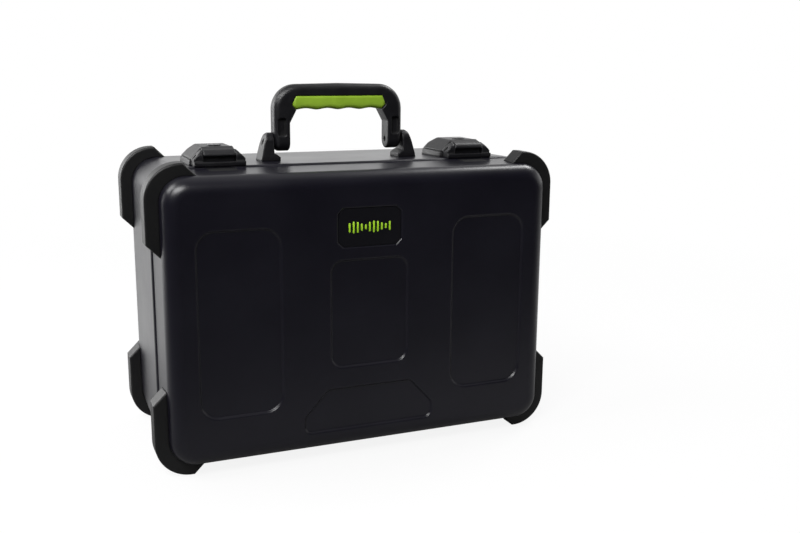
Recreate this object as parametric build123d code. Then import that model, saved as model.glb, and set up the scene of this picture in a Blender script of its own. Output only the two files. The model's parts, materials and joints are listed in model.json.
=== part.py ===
from build123d import *
from math import cos, pi, radians, sin, tan
import os

# Upright hard case for microphones: +Z up, the lid faces -Y, the hinge runs along the bottom of the seam.
# The origin lies on the floor, under the middle of the case.  All sizes are millimetres.

# ---- Shared ----
CUT_PAST = 1.0               # how far a cut runs past a face
TOUCHING = 0.001             # an edge lies in a plane within this

# ---- Shells ----
LID_WIDTH = 442.0            # outside, at the seam
LID_HEIGHT = 311.0
LID_DEPTH = 57.0
LID_DRAFT = 3.0              # degrees, each wall
LID_CORNER = 30.0
LID_EDGE = 17.0              # rounding of the front edge
BODY_STEP = 2.0              # how far the body stands out past the lid at the seam
BODY_DEPTH = 165.0
BODY_DRAFT = 1.0
BODY_EDGE = 14.0             # rounding of the back edge
RIM_ROUND = 4.0              # rounding of the body's rim
WALL = 4.5
PANEL_WALL = 6.0             # lid front and body back
LID_INNER_EDGE = 11.0
BODY_INNER_EDGE = 6.0
SEAM_GAP = 2.0               # shadow line between lid and body
TONGUE_REACH = 6.0           # lid tongue past the seam
TONGUE_WALL = 3.0
TONGUE_FIT = 0.4

# ---- Sunk panels ----
PANEL_SINK = 2.4
PANEL_SLOPE = 38.0           # degrees from square, sides of a sunk panel
PANEL_EDGE = 1.8             # rounding round a sunk panel
PANEL_FOOT = 1.0             # and round its floor
TALL_WIDTH = 90.0
TALL_HEIGHT = 200.5
TALL_DROP = 1.3              # middle of the tall panels, below the lid's middle
TALL_OFFSET = 143.0
TALL_ROUND = 20.0
CENTRE_WIDTH = 90.0
CENTRE_HEIGHT = 120.5
CENTRE_DROP = 0.8
CENTRE_ROUND = 14.0
FOOT_PANEL_TOP_WIDTH = 98.0
FOOT_PANEL_WIDTH = 152.0
FOOT_PANEL_TOP = -83.5       # below the lid's middle
FOOT_PANEL_SHOULDER = -113.0
FOOT_PANEL_BOTTOM = -132.5
FOOT_PANEL_ROUND = 9.0
BACK_PANEL_WIDTH = 300.0
BACK_PANEL_HEIGHT = 200.0
BACK_PANEL_ROUND = 24.0

# ---- Badge ----
BADGE_WIDTH = 72.5
BADGE_HEIGHT = 42.0
BADGE_RISE = 93.5            # above the lid's middle
BADGE_CUT = 6.0              # cut corners
BADGE_SINK = 2.6
BADGE_PLATE = 1.2
BADGE_FIT = 0.4
BAR_COUNT = 11
BAR_WIDTH = 2.4
BAR_PITCH = 4.6
BAR_TALL = 13.0
BAR_SHORT = 4.5
BAR_RAISE = 0.8
BAR_ROUND = 0.84

# ---- Corner guards ----
GUARD_PROUD_SIDE = 10.5      # past the body's side walls
GUARD_PROUD_TOP = 9.0        # past its top and bottom walls
GUARD_CORNER = 38.0
GUARD_LEG_TALL = 94.5        # length along the side wall, from the guard's outer corner
GUARD_LEG_WIDE = 53.5        # length along the top or bottom wall
GUARD_SLOPE = 13.0           # how far the slanted ends reach
GUARD_DEPTH = 23.0
LID_GUARD_SETBACK = 18.0     # from the lid's front
GUARD_EDGE = 2.0
GUARD_LEG_SCREW = 68.5       # from the guard's outer corner
LID_GUARD_SCREW = 11.5       # screws behind the guard's front face
BODY_GUARD_SCREW = 6.5

# ---- Screws and rivets ----
SCREW_R = 2.0
SCREW_HEAD_R = 4.0
SCREW_HEAD = 2.2
SCREW_BITE = 6.0             # length in the piece that it holds
SCREW_FIT = 0.1
HEAD_SEAT = 0.4              # head to a wall that slopes or curves under it
RIVET_R = 1.6
RIVET_HEAD_R = 3.2
RIVET_HEAD = 1.1

# ---- Hinge ----
HINGE_LENGTH = 306.0
HINGE_PIN_R = 1.5
HINGE_PIN_FIT = 0.08
HINGE_KNUCKLE_R = 3.1
HINGE_LEAF = 1.0
HINGE_LEAF_DEPTH = 17.0
HINGE_KNUCKLES = 17
HINGE_KNUCKLE_GAP = 0.4
HINGE_PAD = 0.8              # moulded pad under each leaf, past the body's rim
HINGE_RIVET_PITCH = 60.0
HINGE_RIVETS = 5
HINGE_RIVET_BACK = 10.2      # behind the rim

# ---- Latches ----
LATCH_X = 146.5
LATCH_PIVOT_BACK = 12.0      # behind the seam
LATCH_PIVOT_RISE = 9.1       # above the body's rim
LATCH_PIN_R = 2.4
LATCH_PIN_FIT = 0.06
LATCH_EAR_R = 7.5
LATCH_EAR_IN = 17.5          # from the latch's middle
LATCH_EAR_OUT = 27.5
LATCH_NOSE_R = 8.0           # rolled front of the flap, round the pin
LATCH_NOSE_LIFT = 1.5        # flat under the roll, above the pin's middle
LATCH_NOSE_WALL = 1.5        # before the pin, where that flat starts
LATCH_SILL = 4.5             # front wall under the roll, above the body's rim
LATCH_SILL_WALL = 2.0
LATCH_SILL_BACK = 0.5        # behind the body's rim
LATCH_TOP = 19.3             # above the body's rim
LATCH_TOP_HALF = 16.0
LATCH_HIP_HALF = 29.0
LATCH_BASE_HALF = 32.0
LATCH_BASE_TOP = 5.8         # above the body's rim
LATCH_REST = 0.5             # flap over base
LATCH_BACK = 71.0            # behind the seam
LATCH_WALL = 3.0
LATCH_ROUND = 4.0
LATCH_SWING_FIT = 0.4
LATCH_SIDE_FIT = 0.4
LATCH_SKIRT_FIT = 0.5        # flap cover behind the ears
LATCH_CUT_SPARE = 0.05       # side form over the front form, so that only one of them cuts the top
LATCH_FALL = 13.0            # rounded back of the flap
LATCH_LEAN = 1.0
LATCH_PIN_SINK = 1.0         # pin ends under the ears' faces
LATCH_SCREW_WALL = 1.5       # between the base's hollow and a screw
LATCH_SCREW_BACK = 9.0       # before the base's back
STRIKER_HALF = 15.0
STRIKER_THICK = 2.2
STRIKER_FOOT = 16.0          # length sunk in the lid's wall
STRIKER_REACH = 6.0          # past the seam, into the body's rim
STRIKER_SCREW = 10.5         # before the lid's rim
STRIKER_SKIN = 0.6           # steel left over a screw's end
STRIKER_END_FIT = 1.0
LOCK_BACK = 33.0             # behind the seam
LOCK_R = 5.5
LOCK_FIT = 0.08
LOCK_END_FIT = 0.16
LOCK_HEAD_R = 7.5
LOCK_HEAD = 1.0
LOCK_BOSS_WALL = 3.0
LOCK_BOSS_DROP = 5.0
CAM_THICK = 2.0
CAM_REACH = 11.0
CAM_HALF = 3.5
KEY_SLOT = 6.5
KEY_SLOT_WIDTH = 1.4
KEY_SLOT_DEEP = 2.0

# ---- Handle ----
HANDLE_Y = -4.0
HANDLE_WIDTH = 154.0
HANDLE_LEG = 18.5
HANDLE_DEPTH = 21.0
HANDLE_CORNER = 28.0
HANDLE_PIVOT_RISE = 20.0     # above the body's rim
HANDLE_TOP_RISE = 64.5       # bar's top over the pivot
HANDLE_CROWN = 1.5
HANDLE_BAR = 13.5
HANDLE_EDGE = 7.0
HANDLE_INNER_EDGE = 2.0
HANDLE_SLOT = 9.0
HANDLE_SLOT_TALL = 20.0
HANDLE_SLOT_SINK = 3.5
HANDLE_SLOT_RISE = 16.5      # slot's middle over the pivot
HANDLE_SLOT_ROUND = 2.4
GRIP_END = 2.0               # frame left between the grip's ends and the legs' inner faces
GRIP_TOP_SLOPE = 5.0         # how far the grip's ends draw in at the top
GRIP_FOOT_SLOPE = 5.0        # and at the foot
GRIP_SHOULDER = 10.0         # under the bar
GRIP_DEEP = 16.0
GRIP_BULGE = 1.0             # proud of the bar, front and back
GRIP_FINGERS = 4
GRIP_SCALLOP = 2.2
GRIP_SCALLOP_SHARE = 0.84    # of each finger's place
GUSSET_DROP = 29.0           # under the bar, where the slanted corner meets the leg
HANDLE_PIN_R = 3.0
HANDLE_PIN_FIT = 0.06
HANDLE_PIN_SINK = 1.5        # pin end inside the leg's inner face
EAR_GAP = 0.8
EAR_R = 10.3
EAR_TOP = 7.5                # ear thickness at the top
EAR_BEVEL = 2.5
BRACKET_SPREAD = 16.0        # outside the leg
BRACKET_UNDER = 6.0          # under the leg
BRACKET_DEPTH = 25.0
BRACKET_FOOT = 6.5
BRACKET_SHOULDER = 17.0      # above the body's rim
BRACKET_FLARE = 4.0
BRACKET_BEVEL = 3.0
BRACKET_LIP = 1.5            # rise of the foot where it meets the ear
BRACKET_SCREW = 7.5          # from the bracket's middle
BACKING_THICK = 2.5

# ---- Foam ----
FOAM_FIT = 4.0               # to the walls, at the back
BACK_PAD = 12.0
FOAM_DEEP = 118.0
MIC_COLUMNS = 5
MIC_PITCH = 82.0
MIC_POCKET = 58.0
MIC_POCKET_ROUND = 10.0
MIC_ROW = 88.0               # height of one row of pockets
FOAM_JOINT = 0.3
FOAM_SKIN_FIT = 0.3          # to the walls, in their rounded edges
TRAY_POCKET_X = 186.0
TRAY_POCKET_Z = 82.0
TRAY_DIVIDER = 24.0
LID_FOAM = 22.0

# ---- Places that follow from the sizes ----
CASE_DEPTH = LID_DEPTH + BODY_DEPTH
FRONT_Y = -CASE_DEPTH / 2
BACK_Y = CASE_DEPTH / 2
SEAM_Y = FRONT_Y + LID_DEPTH
LID_RIM_Y = SEAM_Y - SEAM_GAP / 2
BODY_RIM_Y = SEAM_Y + SEAM_GAP / 2
BODY_WIDTH = LID_WIDTH + 2 * BODY_STEP
BODY_HEIGHT = LID_HEIGHT + 2 * BODY_STEP
GUARD_SPAN_X = BODY_WIDTH + 2 * GUARD_PROUD_SIDE
GUARD_SPAN_Z = BODY_HEIGHT + 2 * GUARD_PROUD_TOP
MID_Z = GUARD_SPAN_Z / 2
GUARD_TIP = GUARD_SPAN_Z / 2 - GUARD_LEG_TALL
GUARD_TOE = GUARD_SPAN_X / 2 - GUARD_LEG_WIDE
GUARD_SCREW_Z = GUARD_SPAN_Z / 2 - GUARD_LEG_SCREW
BODY_TOP_Z = MID_Z + BODY_HEIGHT / 2
BODY_BOTTOM_Z = MID_Z - BODY_HEIGHT / 2
HINGE_FACE_Z = BODY_BOTTOM_Z - HINGE_PAD
HINGE_Z = HINGE_FACE_Z - HINGE_KNUCKLE_R
LATCH_PIVOT_Y = SEAM_Y + LATCH_PIVOT_BACK
LATCH_PIVOT_Z = BODY_TOP_Z + LATCH_PIVOT_RISE
LATCH_SKIRT_Y = LATCH_PIVOT_Y + LATCH_EAR_R + LATCH_SKIRT_FIT
LOCK_Y = SEAM_Y + LOCK_BACK
LATCH_TOP_Z = BODY_TOP_Z + LATCH_TOP
FLAP_FOOT_Z = BODY_TOP_Z + LATCH_BASE_TOP + LATCH_REST
FITTING_ROOT_Z = BODY_TOP_Z - 2 * WALL
LOCK_BOSS_Z = LATCH_TOP_Z - LATCH_WALL - LOCK_BOSS_DROP
HANDLE_PIVOT_Z = BODY_TOP_Z + HANDLE_PIVOT_RISE
BAR_TOP_Z = HANDLE_PIVOT_Z + HANDLE_TOP_RISE
BAR_FOOT_Z = BAR_TOP_Z - HANDLE_BAR
LEG_INNER_X = HANDLE_WIDTH / 2 - HANDLE_LEG
GRIP_HALF = LEG_INNER_X - GRIP_END
GRIP_TOP_HALF = GRIP_HALF - GRIP_TOP_SLOPE
GRIP_FOOT_HALF = GRIP_HALF - GRIP_FOOT_SLOPE
BRACKET_OUT = HANDLE_WIDTH / 2 + BRACKET_SPREAD
BRACKET_IN = HANDLE_WIDTH / 2 - BRACKET_UNDER
LID_GUARD_Y = FRONT_Y + LID_GUARD_SETBACK
BODY_GUARD_Y = BACK_Y - GUARD_DEPTH
LID_SCREW_Y = LID_GUARD_Y + LID_GUARD_SCREW
BODY_SCREW_Y = BODY_GUARD_Y + BODY_GUARD_SCREW
FOAM_BACK_Y = BACK_Y - PANEL_WALL - BACK_PAD
CORNERS = {"top_left": (-1, 1), "top_right": (1, 1), "bottom_left": (-1, -1), "bottom_right": (1, -1)}
SIDES = {"left": -1, "right": 1}


def facing_front(y):
    """Plane across the case whose normal points at the viewer, with its origin at mid height."""
    return Plane(origin=(0, y, MID_Z), x_dir=(1, 0, 0), z_dir=(0, -1, 0))


def facing_back(y):
    """The same plane turned round: its own x runs to the case's left."""
    return Plane(origin=(0, y, MID_Z), x_dir=(-1, 0, 0), z_dir=(0, 1, 0))


def facing_side(x):
    """Plane across X: its own x is the case's Y, and its own y is Z from the floor."""
    return Plane(origin=(x, 0, 0), x_dir=(0, 1, 0), z_dir=(1, 0, 0))


def slab(plane, outline, amount, draft=0.0):
    """An outline pushed out of its plane, drawn in by the draft."""
    return extrude(plane * outline, amount=amount, taper=draft)


def box_between(x0, x1, y0, y1, z0, z1):
    return Pos((x0 + x1) / 2, (y0 + y1) / 2, (z0 + z1) / 2) * Box(abs(x1 - x0), abs(y1 - y0), abs(z1 - z0))


def rod(start, end, radius):
    """A round bar between two points."""
    line = Vector(*end) - Vector(*start)
    return extrude(Plane(origin=start, z_dir=line) * Circle(radius), amount=line.length)


def end_edges(solid, y):
    """The edges that lie in one plane across Y."""
    flat = []
    for edge in solid.edges():
        box = edge.bounding_box()
        if max(abs(box.min.Y - y), abs(box.max.Y - y)) < TOUCHING:
            flat.append(edge)
    return flat


# ---- Shells ----

def lid_form(inset=0.0, front=0.0, edge=LID_EDGE):
    """The lid's outer form, or its hollow when inset and front are wall sizes."""
    outline = RectangleRounded(LID_WIDTH - 2 * inset, LID_HEIGHT - 2 * inset, LID_CORNER - inset)
    form = slab(facing_front(LID_RIM_Y), outline, LID_RIM_Y - FRONT_Y - front, LID_DRAFT)
    return fillet(end_edges(form, FRONT_Y + front), edge)


def body_form(inset=0.0, back=0.0, edge=BODY_EDGE):
    """The body's outer form, or its hollow when inset and back are wall sizes."""
    corner = LID_CORNER + BODY_STEP - inset
    outline = RectangleRounded(BODY_WIDTH - 2 * inset, BODY_HEIGHT - 2 * inset, corner)
    form = slab(facing_back(BODY_RIM_Y), outline, BACK_Y - back - BODY_RIM_Y, BODY_DRAFT)
    return fillet(end_edges(form, BACK_Y - back), edge)


def sunk(outline, depth=PANEL_SINK):
    """A shallow pocket in the lid's front, with sloping sides."""
    return slab(facing_back(FRONT_Y), outline, depth, PANEL_SLOPE)


def foot_panel_outline():
    half_top = FOOT_PANEL_TOP_WIDTH / 2
    half = FOOT_PANEL_WIDTH / 2
    points = [(-half_top, FOOT_PANEL_TOP), (half_top, FOOT_PANEL_TOP), (half, FOOT_PANEL_SHOULDER)]
    points += [(half, FOOT_PANEL_BOTTOM), (-half, FOOT_PANEL_BOTTOM), (-half, FOOT_PANEL_SHOULDER)]
    outline = make_face(Polyline(*points, close=True))
    return fillet(outline.vertices(), FOOT_PANEL_ROUND)


def badge_outline(fit=0.0):
    rectangle = Pos(0, BADGE_RISE) * Rectangle(BADGE_WIDTH - 2 * fit, BADGE_HEIGHT - 2 * fit)
    return chamfer(rectangle.vertices(), BADGE_CUT)


def lid_tongue():
    """The ring on the lid's rim that reaches inside the body's wall."""
    inset = WALL - BODY_STEP + TONGUE_FIT
    outer = RectangleRounded(LID_WIDTH - 2 * inset, LID_HEIGHT - 2 * inset, LID_CORNER - inset)
    hole = inset + TONGUE_WALL
    inner = RectangleRounded(LID_WIDTH - 2 * hole, LID_HEIGHT - 2 * hole, LID_CORNER - hole)
    length = SEAM_GAP / 2 + TONGUE_REACH
    ring = slab(facing_back(LID_RIM_Y), outer, length) - slab(facing_back(LID_RIM_Y), inner, length)
    backing = slab(facing_front(LID_RIM_Y), outer, TONGUE_REACH, LID_DRAFT)
    backing -= slab(facing_front(LID_RIM_Y), inner, TONGUE_REACH, LID_DRAFT)
    return ring + backing


def hinge_pad(rim_y, away):
    """Flat moulded pad for one hinge leaf, from the rim away from the seam."""
    y1 = rim_y + away * HINGE_LEAF_DEPTH
    top = BODY_BOTTOM_Z + BODY_STEP + WALL / 2
    return box_between(-HINGE_LENGTH / 2, HINGE_LENGTH / 2, rim_y, y1, HINGE_FACE_Z, top)


def hinge_rivet_xs():
    start = -(HINGE_RIVETS - 1) / 2 * HINGE_RIVET_PITCH
    return [start + i * HINGE_RIVET_PITCH for i in range(HINGE_RIVETS)]


def hinge_rivet_holes(rim_y, away):
    y = rim_y + away * HINGE_RIVET_BACK
    top = BODY_BOTTOM_Z + 3 * WALL
    return [rod((x, y, 0), (x, y, top), RIVET_R + SCREW_FIT) for x in hinge_rivet_xs()]


def soften_panels(shell):
    """Rounds the edges round the sunk panels and round their floors."""
    front = shell.faces().sort_by(Axis.Y)[0]
    shell = fillet([edge for wire in front.inner_wires() for edge in wire.edges()], PANEL_EDGE)
    return fillet(end_edges(shell, FRONT_Y + PANEL_SINK), PANEL_FOOT)


def lid_shell():
    shell = lid_form() - lid_form(WALL, PANEL_WALL, LID_INNER_EDGE)
    shell += lid_tongue()
    shell += hinge_pad(LID_RIM_Y, -1) - lid_form(WALL / 2)
    for side in SIDES.values():
        tall = Pos(side * TALL_OFFSET, -TALL_DROP) * RectangleRounded(TALL_WIDTH, TALL_HEIGHT, TALL_ROUND)
        shell -= sunk(tall)
    shell -= sunk(Pos(0, -CENTRE_DROP) * RectangleRounded(CENTRE_WIDTH, CENTRE_HEIGHT, CENTRE_ROUND))
    shell -= sunk(foot_panel_outline())
    shell -= slab(facing_back(FRONT_Y), badge_outline(), BADGE_SINK)
    shell = soften_panels(shell)
    cuts = guard_screw_holes(LID_SCREW_Y) + striker_pockets() + striker_screw_holes()
    for cut in cuts + hinge_rivet_holes(LID_RIM_Y, -1):
        shell -= cut
    return shell


def body_outside():
    """The body's outer form with its rim rounded."""
    outer = body_form()
    return fillet(end_edges(outer, BODY_RIM_Y), RIM_ROUND)


def body_shell():
    shell = body_outside() - body_form(WALL, PANEL_WALL, BODY_INNER_EDGE)
    shell += hinge_pad(BODY_RIM_Y, 1) - body_form(WALL / 2)
    back = RectangleRounded(BACK_PANEL_WIDTH, BACK_PANEL_HEIGHT, BACK_PANEL_ROUND)
    shell -= slab(facing_front(BACK_Y), back, PANEL_SINK, PANEL_SLOPE)
    cuts = guard_screw_holes(BODY_SCREW_Y) + latch_screw_holes() + bracket_screw_holes()
    for cut in cuts + striker_slots() + hinge_rivet_holes(BODY_RIM_Y, 1):
        shell -= cut
    return shell


# ---- Corner guards and their screws ----

def guard(corner, y, screw_y, wall_form):
    """One corner guard: two legs round the shell's corner, cut to sit on the shell."""
    sx, sz = CORNERS[corner]
    half_x = GUARD_SPAN_X / 2
    half_z = GUARD_SPAN_Z / 2
    root_x = half_x - 2 * GUARD_SLOPE
    root_z = half_z - 2 * GUARD_SLOPE
    line = [(root_x, GUARD_TIP - GUARD_SLOPE), (half_x, GUARD_TIP + GUARD_SLOPE), (half_x, half_z)]
    line += [(GUARD_TOE + GUARD_SLOPE, half_z), (GUARD_TOE - GUARD_SLOPE, root_z)]
    outline = make_face(Polyline(*[(sx * a, sz * b) for a, b in line], close=True))
    apex = outline.vertices().sort_by_distance((sx * half_x, sz * half_z, 0))[0]
    outline = fillet(apex, GUARD_CORNER)
    block = slab(facing_front(y + GUARD_DEPTH), outline, GUARD_DEPTH)
    block = fillet(end_edges(block, y) + end_edges(block, y + GUARD_DEPTH), GUARD_EDGE)
    block -= wall_form
    for start, end in guard_screw_lines(screw_y, corner):
        block -= rod(start, end, SCREW_R + SCREW_FIT)
    return block


def wall_half(y, half_rim):
    """Half size of a shell's outer wall at a place along Y."""
    if y < SEAM_Y:
        return half_rim - (LID_RIM_Y - y) * tan(radians(LID_DRAFT))
    return half_rim + BODY_STEP - (y - BODY_RIM_Y) * tan(radians(BODY_DRAFT))


def corner_radius(y):
    """Outer corner radius of the shell at a place along Y."""
    if y < SEAM_Y:
        return LID_CORNER - (LID_RIM_Y - y) * tan(radians(LID_DRAFT))
    return LID_CORNER + BODY_STEP - (y - BODY_RIM_Y) * tan(radians(BODY_DRAFT))


def guard_screw_lines(y, corner):
    """Start, under the head, and end of a guard's screws: one in its long leg, one in its corner."""
    sx, sz = CORNERS[corner]
    side = wall_half(y, LID_WIDTH / 2)
    top = wall_half(y, LID_HEIGHT / 2)
    start_x = side - WALL - HEAD_SEAT
    z = MID_Z + sz * GUARD_SCREW_Z
    end_x = side + SCREW_BITE
    leg = ((sx * start_x, y, z), (sx * end_x, y, z))
    radius = corner_radius(y)
    centre_x = side - radius
    centre_z = top - radius
    near = (radius - WALL - HEAD_SEAT) * cos(pi / 4)
    far = (radius + SCREW_BITE) * cos(pi / 4)
    start = (sx * (centre_x + near), y, MID_Z + sz * (centre_z + near))
    end = (sx * (centre_x + far), y, MID_Z + sz * (centre_z + far))
    return [leg, (start, end)]


def pan_screw(start, end):
    """Screw with its head behind the start point."""
    a = Vector(*start)
    b = Vector(*end)
    back = a - (b - a).normalized() * SCREW_HEAD
    head = rod(tuple(back), start, SCREW_HEAD_R)
    return rod(start, end, SCREW_R) + head


def hole_along(start, end, past=SCREW_HEAD):
    """Clearance hole on a screw's line, open behind its head."""
    a = Vector(*start)
    b = Vector(*end)
    step = (b - a).normalized()
    return rod(tuple(a - step * past), end, SCREW_R + SCREW_FIT)


def guard_screw_holes(y):
    return [hole_along(*line) for corner in CORNERS for line in guard_screw_lines(y, corner)]


def guard_screws(y):
    return Compound(children=[pan_screw(*line) for corner in CORNERS for line in guard_screw_lines(y, corner)])


# ---- Badge ----

def badge_plate():
    floor_y = FRONT_Y + BADGE_SINK
    return slab(facing_front(floor_y), badge_outline(BADGE_FIT), BADGE_PLATE)


def badge_bars():
    """A row of upright bars, tall and short in a steady swell, on the badge plate."""
    face_y = FRONT_Y + BADGE_SINK - BADGE_PLATE
    bars = []
    for i in range(BAR_COUNT):
        turn = i / (BAR_COUNT - 1) * pi
        height = BAR_SHORT + (BAR_TALL - BAR_SHORT) * abs(sin(2 * turn + pi / 4))
        x = (i - (BAR_COUNT - 1) / 2) * BAR_PITCH
        bar = Pos(x, BADGE_RISE) * RectangleRounded(BAR_WIDTH, height, BAR_ROUND)
        bars.append(slab(facing_front(face_y), bar, BAR_RAISE))
    return Compound(children=bars)


# ---- Hinge ----

def knuckle_spans(first):
    """Start and end of every second knuckle, along X."""
    pitch = HINGE_LENGTH / HINGE_KNUCKLES
    spans = []
    for i in range(first, HINGE_KNUCKLES, 2):
        x0 = -HINGE_LENGTH / 2 + i * pitch
        spans.append((x0 + HINGE_KNUCKLE_GAP / 2, x0 + pitch - HINGE_KNUCKLE_GAP / 2))
    return spans


def hinge_leaf(rim_y, away, first):
    """A leaf with its row of knuckles, bored for the pin."""
    y1 = rim_y + away * HINGE_LEAF_DEPTH
    foot_z = HINGE_FACE_Z - HINGE_LEAF
    y0 = rim_y + away * HINGE_KNUCKLE_R
    leaf = box_between(-HINGE_LENGTH / 2, HINGE_LENGTH / 2, y0, y1, foot_z, HINGE_FACE_Z)
    for x0, x1 in knuckle_spans(first):
        leaf += rod((x0, SEAM_Y, HINGE_Z), (x1, SEAM_Y, HINGE_Z), HINGE_KNUCKLE_R)
        leaf += box_between(x0, x1, SEAM_Y, y0 + away * HINGE_LEAF, foot_z, HINGE_FACE_Z)
    leaf -= rod((-HINGE_LENGTH, SEAM_Y, HINGE_Z), (HINGE_LENGTH, SEAM_Y, HINGE_Z), HINGE_PIN_R + HINGE_PIN_FIT)
    for hole in hinge_rivet_holes(rim_y, away):
        leaf -= hole
    return leaf


def hinge_pin():
    reach = HINGE_LENGTH / 2
    return rod((-reach, SEAM_Y, HINGE_Z), (reach, SEAM_Y, HINGE_Z), HINGE_PIN_R)


def hinge_rivets(rim_y, away):
    """Rivets with a flat head under the leaf and one inside the wall."""
    y = rim_y + away * HINGE_RIVET_BACK
    low = HINGE_FACE_Z - HINGE_LEAF
    high = MID_Z - wall_half(y, LID_HEIGHT / 2) + WALL + HEAD_SEAT
    rivets = []
    for x in hinge_rivet_xs():
        rivet = rod((x, y, low), (x, y, high), RIVET_R)
        rivet += rod((x, y, low - RIVET_HEAD), (x, y, low), RIVET_HEAD_R)
        rivet += rod((x, y, high), (x, y, high + RIVET_HEAD), RIVET_HEAD_R)
        rivets.append(rivet)
    return Compound(children=rivets)


# ---- Latches ----

def latch_section(x, half_low, half_high, z_low, z_high):
    """Front outline of a latch piece: wide at the foot, drawn in at the top."""
    points = [(x - half_low, z_low), (x + half_low, z_low), (x + half_high, z_high), (x - half_high, z_high)]
    return [(a, b - MID_Z) for a, b in points]


def latch_front_form(x, inset=0.0):
    """The hipped form that ears and flap share, seen from the front."""
    foot = BODY_TOP_Z + LATCH_BASE_TOP - 2 * LATCH_WALL
    slope = (LATCH_HIP_HALF - LATCH_TOP_HALF) / (LATCH_TOP_Z - BODY_TOP_Z - LATCH_BASE_TOP)
    half_low = LATCH_HIP_HALF + 2 * LATCH_WALL * slope - inset
    points = latch_section(x, half_low, LATCH_TOP_HALF - inset, foot, LATCH_TOP_Z - inset)
    outline = make_face(Polyline(*points, close=True))
    top = outline.vertices().sort_by(Axis.Y)[-2:]
    outline = fillet(top, LATCH_ROUND)
    return slab(facing_front(SEAM_Y + LATCH_BACK), outline, LATCH_BACK)


def latch_side_form(x, inset=0.0):
    """The flap's cover seen from the side: a long flat top that falls away at the back."""
    front_y = LATCH_SKIRT_Y + inset
    back_y = SEAM_Y + LATCH_BACK - inset
    top_z = LATCH_TOP_Z - inset + LATCH_CUT_SPARE
    foot_z = FLAP_FOOT_Z - inset
    fall_z = (top_z + foot_z) / 2
    points = [(front_y, foot_z), (back_y, foot_z), (back_y - LATCH_LEAN, fall_z)]
    points += [(back_y - LATCH_FALL, top_z), (front_y, top_z)]
    outline = make_face(Polyline(*points, close=True))
    if not inset:
        for point in (points[2], points[3]):
            corner = outline.vertices().sort_by_distance((point[0], point[1], 0))[0]
            outline = fillet(corner, LATCH_ROUND)
    return extrude(facing_side(x - LATCH_BASE_HALF) * outline, amount=2 * LATCH_BASE_HALF)


def latch_nose(x):
    """The flap's rolled front between the ears: round the pin, cut flat below, joined to the cover."""
    half = LATCH_EAR_IN - LATCH_SIDE_FIT
    join_y = LATCH_SKIRT_Y + LATCH_WALL
    top_z = LATCH_TOP_Z - LATCH_CUT_SPARE
    points = [(LATCH_PIVOT_Y, LATCH_PIVOT_Z - LATCH_PIN_R), (join_y, LATCH_PIVOT_Z), (join_y, top_z)]
    points += [(join_y - LATCH_WALL, top_z), (LATCH_PIVOT_Y, LATCH_PIVOT_Z + LATCH_NOSE_R)]
    side = make_face(Polyline(*points, close=True)) + Pos(LATCH_PIVOT_Y, LATCH_PIVOT_Z) * Circle(LATCH_NOSE_R)
    nose = extrude(facing_side(x - half) * side, amount=2 * half)
    cut_y = LATCH_PIVOT_Y - LATCH_PIN_R - LATCH_NOSE_WALL
    cut_z = LATCH_PIVOT_Z + LATCH_NOSE_LIFT
    low_y = cut_y - LATCH_NOSE_R
    return nose - box_between(x - half, x + half, low_y, cut_y, cut_z - 2 * LATCH_NOSE_R, cut_z)


def latch_flap(x):
    """Hinged flap: a hollow hipped cover with a rolled nose on the pin and a boss for the lock."""
    flap = latch_front_form(x) & latch_side_form(x)
    flap -= latch_front_form(x, LATCH_WALL) & latch_side_form(x, LATCH_WALL)
    flap += latch_nose(x)
    boss_top = LATCH_TOP_Z - LATCH_WALL / 2
    flap += rod((x, LOCK_Y, LOCK_BOSS_Z), (x, LOCK_Y, boss_top), LOCK_R + LOCK_BOSS_WALL)
    flap -= rod((x, LOCK_Y, LOCK_BOSS_Z - CUT_PAST), (x, LOCK_Y, LATCH_TOP_Z + CUT_PAST), LOCK_R + LOCK_FIT)
    return flap - latch_axle(x, LATCH_BASE_HALF, LATCH_PIN_R + LATCH_PIN_FIT)


def latch_base(x):
    """Base on the body: a low foot under the flap, a sill at the seam and two ears for the pin."""
    foot_top = BODY_TOP_Z + LATCH_BASE_TOP
    ear_y = LATCH_PIVOT_Y + LATCH_EAR_R
    back_y = SEAM_Y + LATCH_BACK
    points = latch_section(x, LATCH_BASE_HALF, LATCH_HIP_HALF, FITTING_ROOT_Z, foot_top)
    outline = make_face(Polyline(*points, close=True))
    base = slab(facing_front(back_y), outline, back_y - ear_y)
    tray_half = LATCH_TOP_HALF + LATCH_WALL
    tray_y = LATCH_SKIRT_Y + LATCH_WALL
    tray_z = BODY_TOP_Z + LATCH_WALL
    base -= box_between(x - tray_half, x + tray_half, tray_y, back_y - LATCH_WALL, tray_z, foot_top + CUT_PAST)
    base += latch_ears(x) & latch_front_form(x)
    base -= body_outside()
    half = LATCH_EAR_IN
    sill_y = BODY_RIM_Y + LATCH_SILL_BACK
    slot_y = LATCH_PIVOT_Y + max(LATCH_NOSE_R, LATCH_EAR_R) + LATCH_SWING_FIT
    slot_z = LATCH_PIVOT_Z - LATCH_NOSE_R - LATCH_SWING_FIT
    base -= box_between(x - half, x + half, sill_y + LATCH_SILL_WALL, slot_y, slot_z, LATCH_TOP_Z)
    base -= box_between(x - half, x + half, sill_y - CUT_PAST, slot_y, BODY_TOP_Z + LATCH_SILL, LATCH_TOP_Z)
    base -= latch_axle(x, LATCH_BASE_HALF, LATCH_PIN_R + LATCH_PIN_FIT)
    for line in latch_screw_lines(x):
        base -= hole_along(*line)
    return base


def latch_axle(x, half, radius):
    """A round bar on the latch's pivot."""
    return rod((x - half, LATCH_PIVOT_Y, LATCH_PIVOT_Z), (x + half, LATCH_PIVOT_Y, LATCH_PIVOT_Z), radius)


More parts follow.
